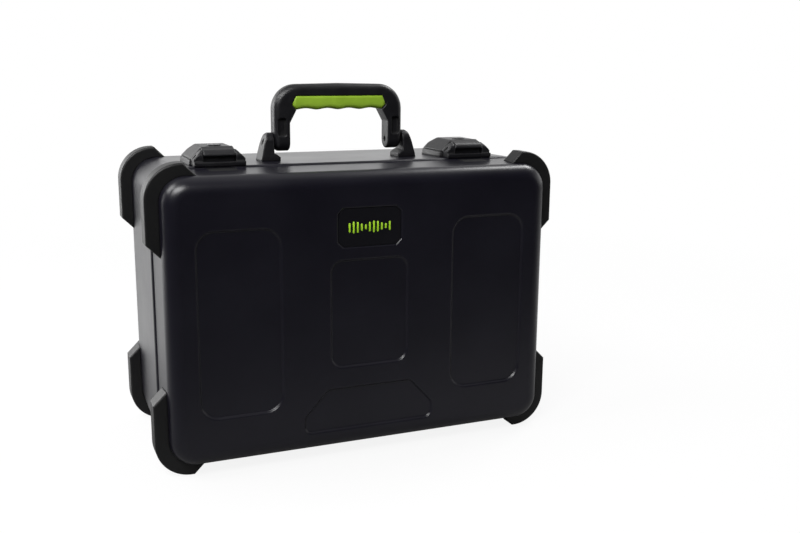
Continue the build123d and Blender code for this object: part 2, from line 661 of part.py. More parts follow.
def latch_ears(x):
    """Stock for the two ears and the sill between them."""
    x0 = x - LATCH_EAR_OUT
    x1 = x + LATCH_EAR_OUT
    front_y = LATCH_PIVOT_Y - LATCH_EAR_R
    ears = latch_axle(x, LATCH_EAR_OUT, LATCH_EAR_R)
    ears += box_between(x0, x1, front_y, LATCH_PIVOT_Y + LATCH_EAR_R, FITTING_ROOT_Z, LATCH_PIVOT_Z)
    sill_y = BODY_RIM_Y + LATCH_SILL_BACK
    return ears + box_between(x0, x1, sill_y, LATCH_PIVOT_Y, FITTING_ROOT_Z, BODY_TOP_Z + LATCH_SILL)


def latch_pin(x):
    """Pin through both ears, its ends just under the ears' faces."""
    slope = (LATCH_HIP_HALF - LATCH_TOP_HALF) / (LATCH_TOP_Z - BODY_TOP_Z - LATCH_BASE_TOP)
    half = LATCH_TOP_HALF + (LATCH_TOP_Z - LATCH_PIVOT_Z - LATCH_PIN_R) * slope - LATCH_PIN_SINK
    return latch_axle(x, half, LATCH_PIN_R)


def latch_screw_lines(x):
    """Screws from inside the body, up into the latch base's solid edges."""
    lines = []
    for dx in (-1, 1):
        for y in (LATCH_PIVOT_Y, SEAM_Y + LATCH_BACK - LATCH_SCREW_BACK):
            side = x + dx * (LATCH_TOP_HALF + LATCH_WALL + LATCH_SCREW_WALL + SCREW_R)
            top = MID_Z + wall_half(y, LID_HEIGHT / 2)
            lines.append(((side, y, top - WALL - HEAD_SEAT), (side, y, top + LATCH_BASE_TOP - SCREW_R)))
    return lines


def latch_screw_holes():
    return [hole_along(*line) for side in SIDES.values() for line in latch_screw_lines(side * LATCH_X)]


def latch_screws():
    lines = [line for side in SIDES.values() for line in latch_screw_lines(side * LATCH_X)]
    return Compound(children=[pan_screw(*line) for line in lines])


def striker_box(x, fit, y0, y1):
    """A flat length of the striker, its top level with the lid's rim."""
    half = STRIKER_HALF + fit
    top = MID_Z + LID_HEIGHT / 2
    return box_between(x - half, x + half, y0, y1, top - STRIKER_THICK, top)


def striker(x):
    """Steel striker let into the lid's top wall: its tongue enters a slot in the body's rim."""
    plate = striker_box(x, 0, LID_RIM_Y - STRIKER_FOOT, LID_RIM_Y) & lid_form()
    plate += striker_box(x, 0, LID_RIM_Y, SEAM_Y + STRIKER_REACH)
    for line in striker_screw_lines(x):
        plate -= hole_along(*line)
    return plate


def striker_pockets():
    """Pockets for the strikers in the lid's top wall."""
    y0 = LID_RIM_Y - STRIKER_FOOT - SCREW_FIT
    return [striker_box(side * LATCH_X, SCREW_FIT, y0, LID_RIM_Y) for side in SIDES.values()]


def striker_slots():
    """Slots for the strikers' tongues in the body's rim."""
    cuts = []
    half = STRIKER_HALF + LATCH_SWING_FIT
    top = MID_Z + LID_HEIGHT / 2 + LATCH_SWING_FIT
    end_y = SEAM_Y + STRIKER_REACH + STRIKER_END_FIT
    for side in SIDES.values():
        x = side * LATCH_X
        cuts.append(box_between(x - half, x + half, SEAM_Y, end_y, top - WALL, top))
    return cuts


def striker_screw_lines(x):
    y = LID_RIM_Y - STRIKER_SCREW
    top = MID_Z + wall_half(y, LID_HEIGHT / 2)
    lines = []
    for dx in (-1, 1):
        side = x + dx * (STRIKER_HALF - SCREW_HEAD_R)
        lines.append(((side, y, top - WALL - HEAD_SEAT), (side, y, top - STRIKER_SKIN)))
    return lines


def striker_screw_holes():
    return [hole_along(*line) for side in SIDES.values() for line in striker_screw_lines(side * LATCH_X)]


def striker_screws():
    lines = [line for side in SIDES.values() for line in striker_screw_lines(side * LATCH_X)]
    return Compound(children=[pan_screw(*line) for line in lines])


def lock_cylinder(x):
    """Key cylinder: a slotted head over the flap, a barrel in the boss."""
    head_z = LATCH_TOP_Z + LOCK_END_FIT
    face_z = head_z + LOCK_HEAD
    cylinder = rod((x, LOCK_Y, LOCK_BOSS_Z - LOCK_END_FIT), (x, LOCK_Y, head_z), LOCK_R)
    cylinder += rod((x, LOCK_Y, head_z), (x, LOCK_Y, face_z), LOCK_HEAD_R)
    half = KEY_SLOT_WIDTH / 2
    y0 = LOCK_Y - KEY_SLOT / 2
    floor_z = face_z - KEY_SLOT_DEEP
    return cylinder - box_between(x - half, x + half, y0, y0 + KEY_SLOT, floor_z, face_z + CUT_PAST)


def lock_cam(x):
    """Cam plate under the cylinder, with a tongue to one side."""
    top = LOCK_BOSS_Z - LOCK_END_FIT
    cam = rod((x, LOCK_Y, top - CAM_THICK), (x, LOCK_Y, top), LOCK_R)
    return cam + box_between(x, x + CAM_REACH, LOCK_Y - CAM_HALF, LOCK_Y + CAM_HALF, top - CAM_THICK, top)


# ---- Handle ----

def handle_outer():
    """The handle's outer form: a crowned bar over two round-footed legs, with rounded edges."""
    half = HANDLE_WIDTH / 2
    corner_z = BAR_TOP_Z - HANDLE_CROWN
    foot_z = HANDLE_PIVOT_Z - HANDLE_DEPTH
    points = [(-half, foot_z), (half, foot_z), (half, corner_z), (0, BAR_TOP_Z), (-half, corner_z)]
    outline = make_face(Polyline(*[(a, b - MID_Z) for a, b in points], close=True))
    for sx in SIDES.values():
        corner = outline.vertices().sort_by_distance((sx * half, corner_z - MID_Z, 0))[0]
        outline = fillet(corner, HANDLE_CORNER)
    form = slab(facing_front(HANDLE_Y + HANDLE_DEPTH / 2), outline, HANDLE_DEPTH)
    side = Pos(HANDLE_Y, HANDLE_PIVOT_Z) * Circle(HANDLE_DEPTH / 2)
    side += Pos(HANDLE_Y, HANDLE_PIVOT_Z + HANDLE_TOP_RISE / 2) * Rectangle(HANDLE_DEPTH, HANDLE_TOP_RISE)
    form &= extrude(facing_side(-HANDLE_WIDTH) * side, amount=2 * HANDLE_WIDTH)
    edges = end_edges(form, HANDLE_Y - HANDLE_DEPTH / 2) + end_edges(form, HANDLE_Y + HANDLE_DEPTH / 2)
    return fillet([e for e in edges if e.center().Z > HANDLE_PIVOT_Z + HANDLE_EDGE], HANDLE_EDGE)


def handle_window():
    """Opening under the bar: straight between the legs, then drawn in round the grip."""
    right = [(LEG_INNER_X, HANDLE_PIVOT_Z - HANDLE_DEPTH), (LEG_INNER_X, BAR_FOOT_Z - GUSSET_DROP)]
    right += [(GRIP_FOOT_HALF, BAR_FOOT_Z - GRIP_DEEP), (GRIP_HALF, BAR_FOOT_Z - GRIP_SHOULDER)]
    right += [(GRIP_TOP_HALF, BAR_FOOT_Z)]
    left = [(-a, b) for a, b in reversed(right)]
    outline = make_face(Polyline(*[(a, b - MID_Z) for a, b in right + left], close=True))
    return slab(facing_front(HANDLE_Y + HANDLE_DEPTH), outline, 2 * HANDLE_DEPTH)


def leg_inner_edges(frame):
    """The upright and round edges of the legs' inner faces, below the slanted corners."""
    found = []
    for edge in frame.edges():
        box = edge.bounding_box()
        flat = max(abs(abs(box.min.X) - LEG_INNER_X), abs(abs(box.max.X) - LEG_INNER_X)) < TOUCHING
        if flat and box.size.Z > HANDLE_EDGE:
            found.append(edge)
    return found


def handle_frame():
    """Carrying handle, bored for its pivot pins."""
    frame = handle_outer() - handle_window()
    frame = fillet(leg_inner_edges(frame), HANDLE_INNER_EDGE)
    for sx in SIDES.values():
        frame -= handle_slot(sx)
        frame -= handle_axle(sx, LEG_INNER_X - CUT_PAST, HANDLE_WIDTH / 2 + CUT_PAST, HANDLE_PIN_FIT)
    return frame


def handle_axle(sx, x0, x1, fit=0.0):
    """A round bar on the handle's pivot, on one side of the case."""
    return rod((sx * x0, HANDLE_Y, HANDLE_PIVOT_Z), (sx * x1, HANDLE_Y, HANDLE_PIVOT_Z), HANDLE_PIN_R + fit)


def handle_slot(sx):
    """Sunk slot in the front and back of a leg, over the pivot."""
    x = sx * (HANDLE_WIDTH / 2 - HANDLE_LEG / 2)
    z = HANDLE_PIVOT_Z + HANDLE_SLOT_RISE
    slot = Pos(x, z - MID_Z) * RectangleRounded(HANDLE_SLOT, HANDLE_SLOT_TALL, HANDLE_SLOT_ROUND)
    depth = HANDLE_SLOT_SINK + CUT_PAST
    front = slab(facing_front(HANDLE_Y - HANDLE_DEPTH / 2 + HANDLE_SLOT_SINK), slot, depth)
    return front + slab(facing_front(HANDLE_Y + HANDLE_DEPTH / 2 + CUT_PAST), slot, depth)


def grip_insert():
    """Soft grip under the bar, with a row of finger hollows."""
    foot_z = BAR_FOOT_Z - GRIP_DEEP
    shoulder_z = BAR_FOOT_Z - GRIP_SHOULDER
    points = [(-GRIP_TOP_HALF, BAR_FOOT_Z), (GRIP_TOP_HALF, BAR_FOOT_Z), (GRIP_HALF, shoulder_z)]
    points += [(GRIP_FOOT_HALF, foot_z), (-GRIP_FOOT_HALF, foot_z), (-GRIP_HALF, shoulder_z)]
    outline = make_face(Polyline(*[(a, b - MID_Z) for a, b in points], close=True))
    depth = HANDLE_DEPTH + 2 * GRIP_BULGE
    grip = slab(facing_front(HANDLE_Y + depth / 2), outline, depth)
    span = 2 * GRIP_FOOT_HALF / GRIP_FINGERS
    chord = span * GRIP_SCALLOP_SHARE / 2
    radius = (chord ** 2 + GRIP_SCALLOP ** 2) / (2 * GRIP_SCALLOP)
    for i in range(GRIP_FINGERS):
        x = -GRIP_FOOT_HALF + (i + 0.5) * span
        centre_z = foot_z + GRIP_SCALLOP - radius
        grip -= rod((x, HANDLE_Y - depth, centre_z), (x, HANDLE_Y + depth, centre_z), radius)
    return grip


def bracket_front_form(sx):
    """Bracket seen from the front: a foot under the leg's end and a flared ear outside the leg."""
    inner = HANDLE_WIDTH / 2 + EAR_GAP
    ear_top = HANDLE_PIVOT_Z + EAR_R
    foot_top = BODY_TOP_Z + BRACKET_FOOT
    shoulder_z = BODY_TOP_Z + BRACKET_SHOULDER
    points = [(BRACKET_IN, FITTING_ROOT_Z), (BRACKET_IN, foot_top - BRACKET_BEVEL)]
    points += [(inner - BRACKET_BEVEL, foot_top), (inner, foot_top + BRACKET_LIP), (inner, ear_top)]
    points += [(inner + EAR_TOP - EAR_BEVEL, ear_top), (inner + EAR_TOP, ear_top - EAR_BEVEL)]
    points += [(BRACKET_OUT - BRACKET_FLARE, shoulder_z), (BRACKET_OUT, BODY_TOP_Z)]
    points += [(BRACKET_OUT, FITTING_ROOT_Z)]
    outline = make_face(Polyline(*[(sx * a, b - MID_Z) for a, b in points], close=True))
    return slab(facing_front(HANDLE_Y + BRACKET_DEPTH / 2), outline, BRACKET_DEPTH)


def bracket_side_form():
    """Bracket seen from the side: drawn in from the foot to the ear's round top."""
    half = BRACKET_DEPTH / 2
    bevel_z = BODY_TOP_Z + BRACKET_FOOT - BRACKET_BEVEL
    points = [(-half, FITTING_ROOT_Z), (half, FITTING_ROOT_Z), (half, bevel_z)]
    points += [(EAR_R, HANDLE_PIVOT_Z), (-EAR_R, HANDLE_PIVOT_Z), (-half, bevel_z)]
    side = make_face(Polyline(*[(HANDLE_Y + a, b) for a, b in points], close=True))
    side += Pos(HANDLE_Y, HANDLE_PIVOT_Z) * Circle(EAR_R)
    return extrude(facing_side(-HANDLE_WIDTH) * side, amount=2 * HANDLE_WIDTH)


def handle_bracket(sx):
    """Bracket on the body's top, bored for the handle's pin and for its screws."""
    block = bracket_front_form(sx) & bracket_side_form()
    block -= body_form()
    block -= handle_axle(sx, HANDLE_WIDTH / 2, BRACKET_OUT, HANDLE_PIN_FIT)
    for line in bracket_screw_lines(sx):
        block -= hole_along(*line)
    return block


def handle_pin(sx):
    """Pivot pin through a leg and its ear."""
    return handle_axle(sx, LEG_INNER_X + HANDLE_PIN_SINK, HANDLE_WIDTH / 2 + EAR_GAP + EAR_TOP)


def bracket_screw_lines(sx):
    """Two screws per bracket, from under the backing plate up into the foot."""
    lines = []
    x = sx * (BRACKET_IN + BRACKET_OUT) / 2
    for dy in (-1, 1):
        y = HANDLE_Y + dy * BRACKET_SCREW
        top = MID_Z + wall_half(HANDLE_Y, LID_HEIGHT / 2)
        low = top - WALL - BACKING_THICK - backing_gap()
        lines.append(((x, y, low), (x, y, top + BRACKET_FOOT - SCREW_R)))
    return lines


def backing_gap():
    """How far the drafted wall falls away over half a backing plate."""
    return BRACKET_DEPTH / 2 * tan(radians(BODY_DRAFT))


def bracket_screw_holes():
    return [hole_along(*line) for sx in SIDES.values() for line in bracket_screw_lines(sx)]


def bracket_screws():
    return Compound(children=[pan_screw(*line) for sx in SIDES.values() for line in bracket_screw_lines(sx)])


def backing_plate(sx):
    """Steel plate inside the body that spreads the handle's load."""
    half = BRACKET_DEPTH / 2
    top = MID_Z + wall_half(HANDLE_Y, LID_HEIGHT / 2) - WALL - backing_gap()
    y0 = HANDLE_Y - half
    plate = box_between(sx * BRACKET_IN, sx * BRACKET_OUT, y0, y0 + BRACKET_DEPTH, top - BACKING_THICK, top)
    for line in bracket_screw_lines(sx):
        plate -= hole_along(*line)
    return plate


# ---- Foam ----

def foam_half(y, half_rim):
    return wall_half(y, half_rim) - WALL - FOAM_FIT


def back_pad():
    half_x = foam_half(BACK_Y, LID_WIDTH / 2)
    half_z = foam_half(BACK_Y, LID_HEIGHT / 2)
    outline = RectangleRounded(2 * half_x, 2 * half_z, LID_CORNER - WALL - FOAM_FIT)
    inner_y = BACK_Y - PANEL_WALL
    pad = slab(facing_front(inner_y), outline, BACK_PAD)
    return pad & body_form(WALL + FOAM_SKIN_FIT, PANEL_WALL, BODY_INNER_EDGE)


def foam_block(z_low, z_high):
    """A full-width slice of the foam fill between two heights over the floor."""
    half_x = foam_half(BACK_Y, LID_WIDTH / 2)
    half_z = foam_half(BACK_Y, LID_HEIGHT / 2)
    outline = RectangleRounded(2 * half_x, 2 * half_z, LID_CORNER - WALL - FOAM_FIT)
    whole = slab(facing_front(FOAM_BACK_Y), outline, FOAM_DEEP)
    return whole & box_between(-LID_WIDTH, LID_WIDTH, FRONT_Y, BACK_Y, z_low, z_high)


def mic_row_centres():
    """Heights of the two rows of microphone pockets."""
    top = MID_Z + foam_half(BACK_Y, LID_HEIGHT / 2)
    return [top - MIC_ROW / 2, top - 1.5 * MIC_ROW]


def mic_row(centre_z):
    half = MIC_ROW / 2
    row = foam_block(centre_z - half + FOAM_JOINT, centre_z + half)
    for i in range(MIC_COLUMNS):
        x = (i - (MIC_COLUMNS - 1) / 2) * MIC_PITCH
        pocket = Pos(x, centre_z - MID_Z) * RectangleRounded(MIC_POCKET, MIC_POCKET, MIC_POCKET_ROUND)
        row -= slab(facing_front(FOAM_BACK_Y + CUT_PAST), pocket, FOAM_DEEP + 2 * CUT_PAST)
    return row


def tray_foam():
    """Lower foam with two wide pockets for clips and leads."""
    low = MID_Z - foam_half(BACK_Y, LID_HEIGHT / 2)
    high = mic_row_centres()[1] - MIC_ROW / 2
    tray = foam_block(low, high)
    middle = (low + high) / 2
    for side in SIDES.values():
        x = side * (TRAY_POCKET_X + TRAY_DIVIDER) / 2
        pocket = Pos(x, middle - MID_Z) * RectangleRounded(TRAY_POCKET_X, TRAY_POCKET_Z, MIC_POCKET_ROUND)
        tray -= slab(facing_front(FOAM_BACK_Y + CUT_PAST), pocket, FOAM_DEEP + 2 * CUT_PAST)
    return tray


def lid_foam():
    inset = WALL + FOAM_FIT
    half_x = wall_half(FRONT_Y, LID_WIDTH / 2) - inset
    half_z = wall_half(FRONT_Y, LID_HEIGHT / 2) - inset
    outline = RectangleRounded(2 * half_x, 2 * half_z, LID_CORNER - inset)
    pad = slab(facing_back(FRONT_Y + PANEL_WALL), outline, LID_FOAM)
    return pad & lid_form(WALL + FOAM_SKIN_FIT, PANEL_WALL, LID_INNER_EDGE)


def build_nodes():
    """Every piece of the case, by name."""
    nodes = {"body_shell": body_shell(), "lid_shell": lid_shell()}
    lid_outer = lid_form()
    body_outer = body_form()
    for corner in CORNERS:
        nodes["lid_guard_" + corner] = guard(corner, LID_GUARD_Y, LID_SCREW_Y, lid_outer)
        nodes["body_guard_" + corner] = guard(corner, BODY_GUARD_Y, BODY_SCREW_Y, body_outer)
    nodes["lid_guard_screws"] = guard_screws(LID_SCREW_Y)
    nodes["body_guard_screws"] = guard_screws(BODY_SCREW_Y)
    nodes["badge_plate"] = badge_plate()
    nodes["badge_bars"] = badge_bars()
    nodes["hinge_lid_leaf"] = hinge_leaf(LID_RIM_Y, -1, 1)
    nodes["hinge_body_leaf"] = hinge_leaf(BODY_RIM_Y, 1, 0)
    nodes["hinge_pin"] = hinge_pin()
    nodes["hinge_lid_rivets"] = hinge_rivets(LID_RIM_Y, -1)
    nodes["hinge_body_rivets"] = hinge_rivets(BODY_RIM_Y, 1)
    for name, side in SIDES.items():
        x = side * LATCH_X
        nodes["latch_base_" + name] = latch_base(x)
        nodes["latch_flap_" + name] = latch_flap(x)
        nodes["latch_pin_" + name] = latch_pin(x)
        nodes["latch_striker_" + name] = striker(x)
        nodes["lock_cylinder_" + name] = lock_cylinder(x)
        nodes["lock_cam_" + name] = lock_cam(x)
        nodes["handle_bracket_" + name] = handle_bracket(side)
        nodes["handle_pin_" + name] = handle_pin(side)
        nodes["handle_backing_plate_" + name] = backing_plate(side)
    nodes["latch_base_screws"] = latch_screws()
    nodes["latch_striker_screws"] = striker_screws()
    nodes["handle_bracket_screws"] = bracket_screws()
    nodes["handle_frame"] = handle_frame()
    nodes["handle_grip"] = grip_insert()
    upper, lower = mic_row_centres()
    nodes["foam_back_pad"] = back_pad()
    nodes["foam_mic_row_upper"] = mic_row(upper)
    nodes["foam_mic_row_lower"] = mic_row(lower)
    nodes["foam_accessory_tray"] = tray_foam()
    nodes["foam_lid_liner"] = lid_foam()
    return nodes


def write_parts():
    os.makedirs("parts", exist_ok=True)
    for name, piece in build_nodes().items():
        export_step(piece, "parts/" + name + ".step")
        print(name, len(piece.solids()), round(piece.volume / 1000, 1))


write_parts()
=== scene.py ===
import json
from math import cos, pi, radians, sin

import bmesh
import bpy
import numpy as np
from mathutils import Matrix, Vector, noise


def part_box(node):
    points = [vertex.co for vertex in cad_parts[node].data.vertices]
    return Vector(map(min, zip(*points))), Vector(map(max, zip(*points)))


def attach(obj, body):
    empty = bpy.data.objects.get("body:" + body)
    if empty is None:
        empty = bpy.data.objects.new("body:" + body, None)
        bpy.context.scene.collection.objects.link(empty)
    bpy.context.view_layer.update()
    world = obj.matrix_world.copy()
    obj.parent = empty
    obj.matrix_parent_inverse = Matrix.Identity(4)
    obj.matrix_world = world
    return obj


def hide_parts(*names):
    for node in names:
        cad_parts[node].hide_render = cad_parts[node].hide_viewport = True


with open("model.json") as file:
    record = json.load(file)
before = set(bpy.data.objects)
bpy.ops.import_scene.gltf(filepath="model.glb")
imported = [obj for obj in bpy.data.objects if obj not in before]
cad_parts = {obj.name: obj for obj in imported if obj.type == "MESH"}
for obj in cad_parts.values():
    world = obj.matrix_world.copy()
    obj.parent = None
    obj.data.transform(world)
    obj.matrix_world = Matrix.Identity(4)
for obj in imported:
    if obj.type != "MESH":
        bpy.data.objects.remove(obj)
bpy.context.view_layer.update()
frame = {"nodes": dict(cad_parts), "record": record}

# Hard case for microphones, closed and upright.  Metres, in the CAD frame: +Z up, the lid faces -Y.
cad = frame["nodes"]
CAD_WELD = 0.000002          # joins the corners of a CAD node's loose triangles
HAIR = 0.00001               # lengths that differ by less count as the same

# ---- Camera values ----
CAMERA_PLACE = (-0.3663, -1.0652, 0.4384)
CAMERA_TURN = -22.8          # degrees round Z, from straight in front
CAMERA_RISE = 12.24
CAMERA_ROLL = 0.48
CAMERA_LENS = 43.54          # mm
CAMERA_SENSOR = 36.0         # mm
CAMERA_NEAREST = 0.02

# ---- Studio values ----
WHITE = (1.0, 1.0, 1.0, 1.0)
BRIGHT_SIDE = (0.35, 0.94, 0.0)      # level direction in which the surroundings get lighter
GLOW_ALONG = (-0.50, 0.25)           # where along it the glow starts and is full
GLOW_LEVELS = (0.02, 1.0)
BAND_RISE = (0.28, 0.46)             # height in the surroundings over which the bright band ends
BAND_LEVELS = (1.15, 0.03)
SOFT_SHARE = 0.45                    # share of the glow that soft light gets from any height
FLOOR_REACH = 14.0
FLOOR_GREY = (0.80, 0.80, 0.80, 1.0)
FLOOR_WHITENESS = 0.88               # near the case; further out it is all white
FLOOR_FADE = (0.5, 1.6)              # from the case's middle, where the floor turns white
FLOOR_BOUNCE = 0.42                  # shade that soft light sees
FLOOR_IN_MIRROR = (                  # start and end along BRIGHT_SIDE, and the shade gained between them
    (-2.0, -0.5, 0.072),
    (-0.5, -0.10, 0.195),
    (-0.10, 0.35, 0.34),
)
LAMPS = (                            # name, place, aim, size, watts
    ("top right softbox", (1.35, 0.4, 1.8), (0.0, 0.0, 0.2), (0.7, 0.8), 18.0),
    ("left softbox", (-1.5, 1.3, 0.5), (-0.1, 0.0, 0.2), (1.4, 1.2), 23.0),
    ("high left softbox", (-1.4, 0.0, 1.6), (-0.1, 0.0, 0.2), (0.8, 0.8), 16.0),
    ("front left fill", (-1.1, -1.6, 2.0), (0.0, 0.0, 0.2), (1.5, 1.0), 62.0),
)

# ---- Finish values ----
MIX_LOW, MIX_HIGH, MIX_RESULT = 6, 7, 2      # a Mix node's colour sockets
NOISE_MIDDLE = (0.3, 0.7)    # the part of a noise mask that holds nearly all its values
GRAIN_ROUNDING = 0.6         # of the cells' borders
GRAIN_FINER = 1.7            # the fine roughness against the cells, in scale
SCUFF_FINER = 3.0            # scuffs against patches, in scale
SCUFF_STRETCH = (1.0, 1.0, 7.0)
SCUFF_PEAKS = (0.60, 0.74)   # only the peaks of the noise become scuffs
EDGE_BEND = (0.999, 0.80)    # agreement of the rounded and the flat normal, from face to edge
HOLLOW_OPENNESS = (0.85, 0.35)       # where a hollow starts and where it is full
HOLLOW_REACH = 0.007        # how near a surface has to lie to itself to count as a hollow
PAINTED_HOLLOW_SHADE = 0.15          # painted shade: share of the dark colour that is left in a hollow
HOLLOW_DULLING = 0.35        # roughness that a hollow adds
GLOSS_CHANGE = 0.025         # roughness either side of a moulded finish's own
EDGE_HIGHLIGHT_GAIN, EDGE_HIGHLIGHT_LIFT = 1.6, 0.004    # painted highlight: how much lighter a moulded edge is than its face
STREAK_SCALE = 900.0
STREAK_GLOSS = (-0.06, 0.08)
STREAK_RELIEF = 0.00004
FOAM_DARK = (0.030, 0.030, 0.034)
FOAM_LIGHT = (0.046, 0.046, 0.051)
FOAM_PORE_SHADE = (0.010, 0.010, 0.012)
FOAM_PORE_SCALE = 900.0
FOAM_PORE_RIM = (0.15, 0.65)         # from a cell's raised middle to the sunken gaps round it, which take a painted shade
FOAM_PORE_RELIEF = 0.0005

# ---- Foam values ----
FOAM_VOXEL = 0.0032
FOAM_EDGE_PASSES = 5         # smoothing passes that round the cut edges
FOAM_SWELL = 0.0006
FOAM_SINK = 0.6              # share of the swell by which every face lies back
FOAM_LUMPS = ((45.0, 0.7), (160.0, 0.3))     # lumps to a metre, and their share of the swell
CRATE_PITCH = 0.0365         # from peak to peak of the lid's foam
CRATE_DEPTH = 0.0115
CRATE_BORDER = 0.020
CRATE_FACE = 0.004           # what lies further back than this from the liner's front stays plain

# ---- Grip values ----
GRIP_STATIONS = 150
GRIP_ROUND = 48              # points round one section
GRIP_FINGERS = 4
GRIP_HOLLOW = 0.0016
GRIP_HOLLOW_POWER = 0.75     # under 1 widens the hollows and narrows the ridges
GRIP_SHOULDER = 0.0100       # under the bar
GRIP_END_SLOPE = 0.0050      # how far the ends draw in above and below the shoulder
GRIP_END_THINNING = 0.3      # share of its depth that the grip loses at its ends
GRIP_TOP_POWER = 0.30        # nearly square against the bar
GRIP_UNDER_POWER = 0.62      # rounder under the fingers

# ---- Screw, rivet and badge bar values ----
SCREW_HEAD_RADIUS = 0.0040
SCREW_HEAD_HEIGHT = 0.0022
SCREW_CROWN = 0.0011         # how far the head's top falls away at its rim
SCREW_SHANK = 0.0020         # radius
SCREW_SHANK_DROP = -0.9      # in head heights, shrunk with the shank, so it ends just under the head's top
RECESS_WIDTH = 0.0009
RECESS_LENGTH = 0.0044
RECESS_DEPTH = 0.0028        # of the cutter, half of it below the head's top
RIVET_HEAD_RADIUS = 0.0032
RIVET_HEAD_HEIGHT = 0.0011
RIVET_CROWN = 0.0006
RIVET_SHANK = 0.0016         # radius
RIVET_SHANK_SHARE = 0.95     # of the whole rivet's length
CROWN_POWER = 2.6            # keeps the middle of a head nearly flat
BAR_DRAW_IN = 0.0004         # how much narrower a bar is at its face
BAR_GAP = 0.0012             # corners further apart than this belong to two bars
SCREW_HOMES = {
    "body_guard_screws": "case_body",
    "latch_base_screws": "case_body",
    "handle_bracket_screws": "case_body",
    "lid_guard_screws": "lid",
    "latch_striker_screws": "lid",
}
RIVET_HOMES = {"hinge_body_rivets": "case_body", "hinge_lid_rivets": "lid"}


# ---- Node helpers ----

def add(tree, kind, inputs=None, **settings):
    """A new node with its options and the inputs that nothing feeds."""
    made = tree.nodes.new(kind)
    for name, value in settings.items():
        setattr(made, name, value)
    for name, value in (inputs or {}).items():
        made.inputs[name].default_value = value
    return made


def wire(tree, *pairs):
    """Joins outputs to inputs, given as (output, input) pairs."""
    for out, into in pairs:
        tree.links.new(out, into)


def feed(tree, value, socket):
    """Gives an input a plain value, or joins it to an output; None leaves it as it is."""
    if isinstance(value, bpy.types.NodeSocket):
        tree.links.new(value, socket)
    elif value is not None:
        socket.default_value = value


def maths(tree, operation, a, b=None, clamp=False):
    """A Math node on two values, each a number or a socket, and its output."""
    made = add(tree, "ShaderNodeMath", operation=operation, use_clamp=clamp)
    for socket, value in zip(made.inputs, (a, b)):
        feed(tree, value, socket)
    return made.outputs[0]


def vector_maths(tree, operation, a, b=None):
    """A Vector Math node on two vectors, each plain numbers or a socket."""
    made = add(tree, "ShaderNodeVectorMath", operation=operation)
    for socket, value in zip(made.inputs, (a, b)):
        feed(tree, value, socket)
    return made


def combine(tree, x=0.0, y=0.0, z=0.0):
    """A vector from three values, each a number or a socket."""
    made = add(tree, "ShaderNodeCombineXYZ")
    for socket, value in zip(made.inputs, (x, y, z)):
        feed(tree, value, socket)
    return made.outputs[0]


def split(tree, vector):
    """The three values of a vector, by the names X, Y and Z."""
    made = add(tree, "ShaderNodeSeparateXYZ")
    wire(tree, (vector, made.inputs[0]))
    return made.outputs


def ramp(tree, value, start, stop, low=0.0, high=1.0, smooth=False):
    """A value that goes from low to high while another goes from start to stop."""
    ends = {"From Min": start, "From Max": stop, "To Min": low, "To Max": high}
    made = add(tree, "ShaderNodeMapRange", ends, interpolation_type="SMOOTHSTEP" if smooth else "LINEAR")
    wire(tree, (value, made.inputs["Value"]))
    return made.outputs[0]


def blend(tree, share, low, high):
    """Colour that goes from low to high, each a plain colour or a socket."""
    made = add(tree, "ShaderNodeMix", data_type="RGBA")
    wire(tree, (share, made.inputs[0]))
    for place, colour in ((MIX_LOW, low), (MIX_HIGH, high)):
        plain = not isinstance(colour, bpy.types.NodeSocket)
        feed(tree, (*colour, 1.0) if plain else colour, made.inputs[place])
    return made.outputs[MIX_RESULT]


def noise_over(tree, place, scale, detail, roughness):
    """Noise over a surface, its scale a number or a socket."""
    made = add(tree, "ShaderNodeTexNoise", {"Detail": detail, "Roughness": roughness})
    wire(tree, (place, made.inputs["Vector"]))
    feed(tree, scale, made.inputs["Scale"])
    return made.outputs["Fac"]


def object_place(tree):
    """A point's own place on its piece."""
    return add(tree, "ShaderNodeTexCoord").outputs["Object"]


def new_tree(name, kind, inputs, outputs):
    """A node tree with named sockets; returns the tree and its two end nodes."""
    tree = bpy.data.node_groups.new(name, kind)
    for label, sort, value in inputs:
        socket = tree.interface.new_socket(label, in_out="INPUT", socket_type="NodeSocket" + sort)
        if value is not None:
            socket.default_value = value
    for label, sort in outputs:
        tree.interface.new_socket(label, in_out="OUTPUT", socket_type="NodeSocket" + sort)
    return tree, tree.nodes.new("NodeGroupInput"), tree.nodes.new("NodeGroupOutput")


# ---- Effects that several finishes share ----

def effect(name, inputs, outputs):
    """A shader node group."""
    return new_tree(name, "ShaderNodeTree", inputs, outputs)


def make_grain():
    """Moulded leather-like grain: rounded cells with a finer roughness on them."""
    sizes = [("Cell size", "Float", 0.001), ("Fine share", "Float", 0.3)]
    tree, start, end = effect("moulded grain", sizes, [("Height", "Float")])
    place = object_place(tree)
    scale = maths(tree, "DIVIDE", 1.0, start.outputs["Cell size"])
    cells = add(tree, "ShaderNodeTexVoronoi", {"Smoothness": GRAIN_ROUNDING}, feature="SMOOTH_F1")
    wire(tree, (place, cells.inputs["Vector"]), (scale, cells.inputs["Scale"]))
    fine = noise_over(tree, place, maths(tree, "MULTIPLY", scale, GRAIN_FINER), detail=3.0, roughness=0.6)
    dome = maths(tree, "SUBTRACT", 1.0, cells.outputs["Distance"])
    rest = maths(tree, "SUBTRACT", 1.0, start.outputs["Fine share"])
    coarse = maths(tree, "MULTIPLY", dome, rest)
    small = maths(tree, "MULTIPLY", fine, start.outputs["Fine share"])
    wire(tree, (maths(tree, "ADD", coarse, small), end.inputs["Height"]))
    return tree


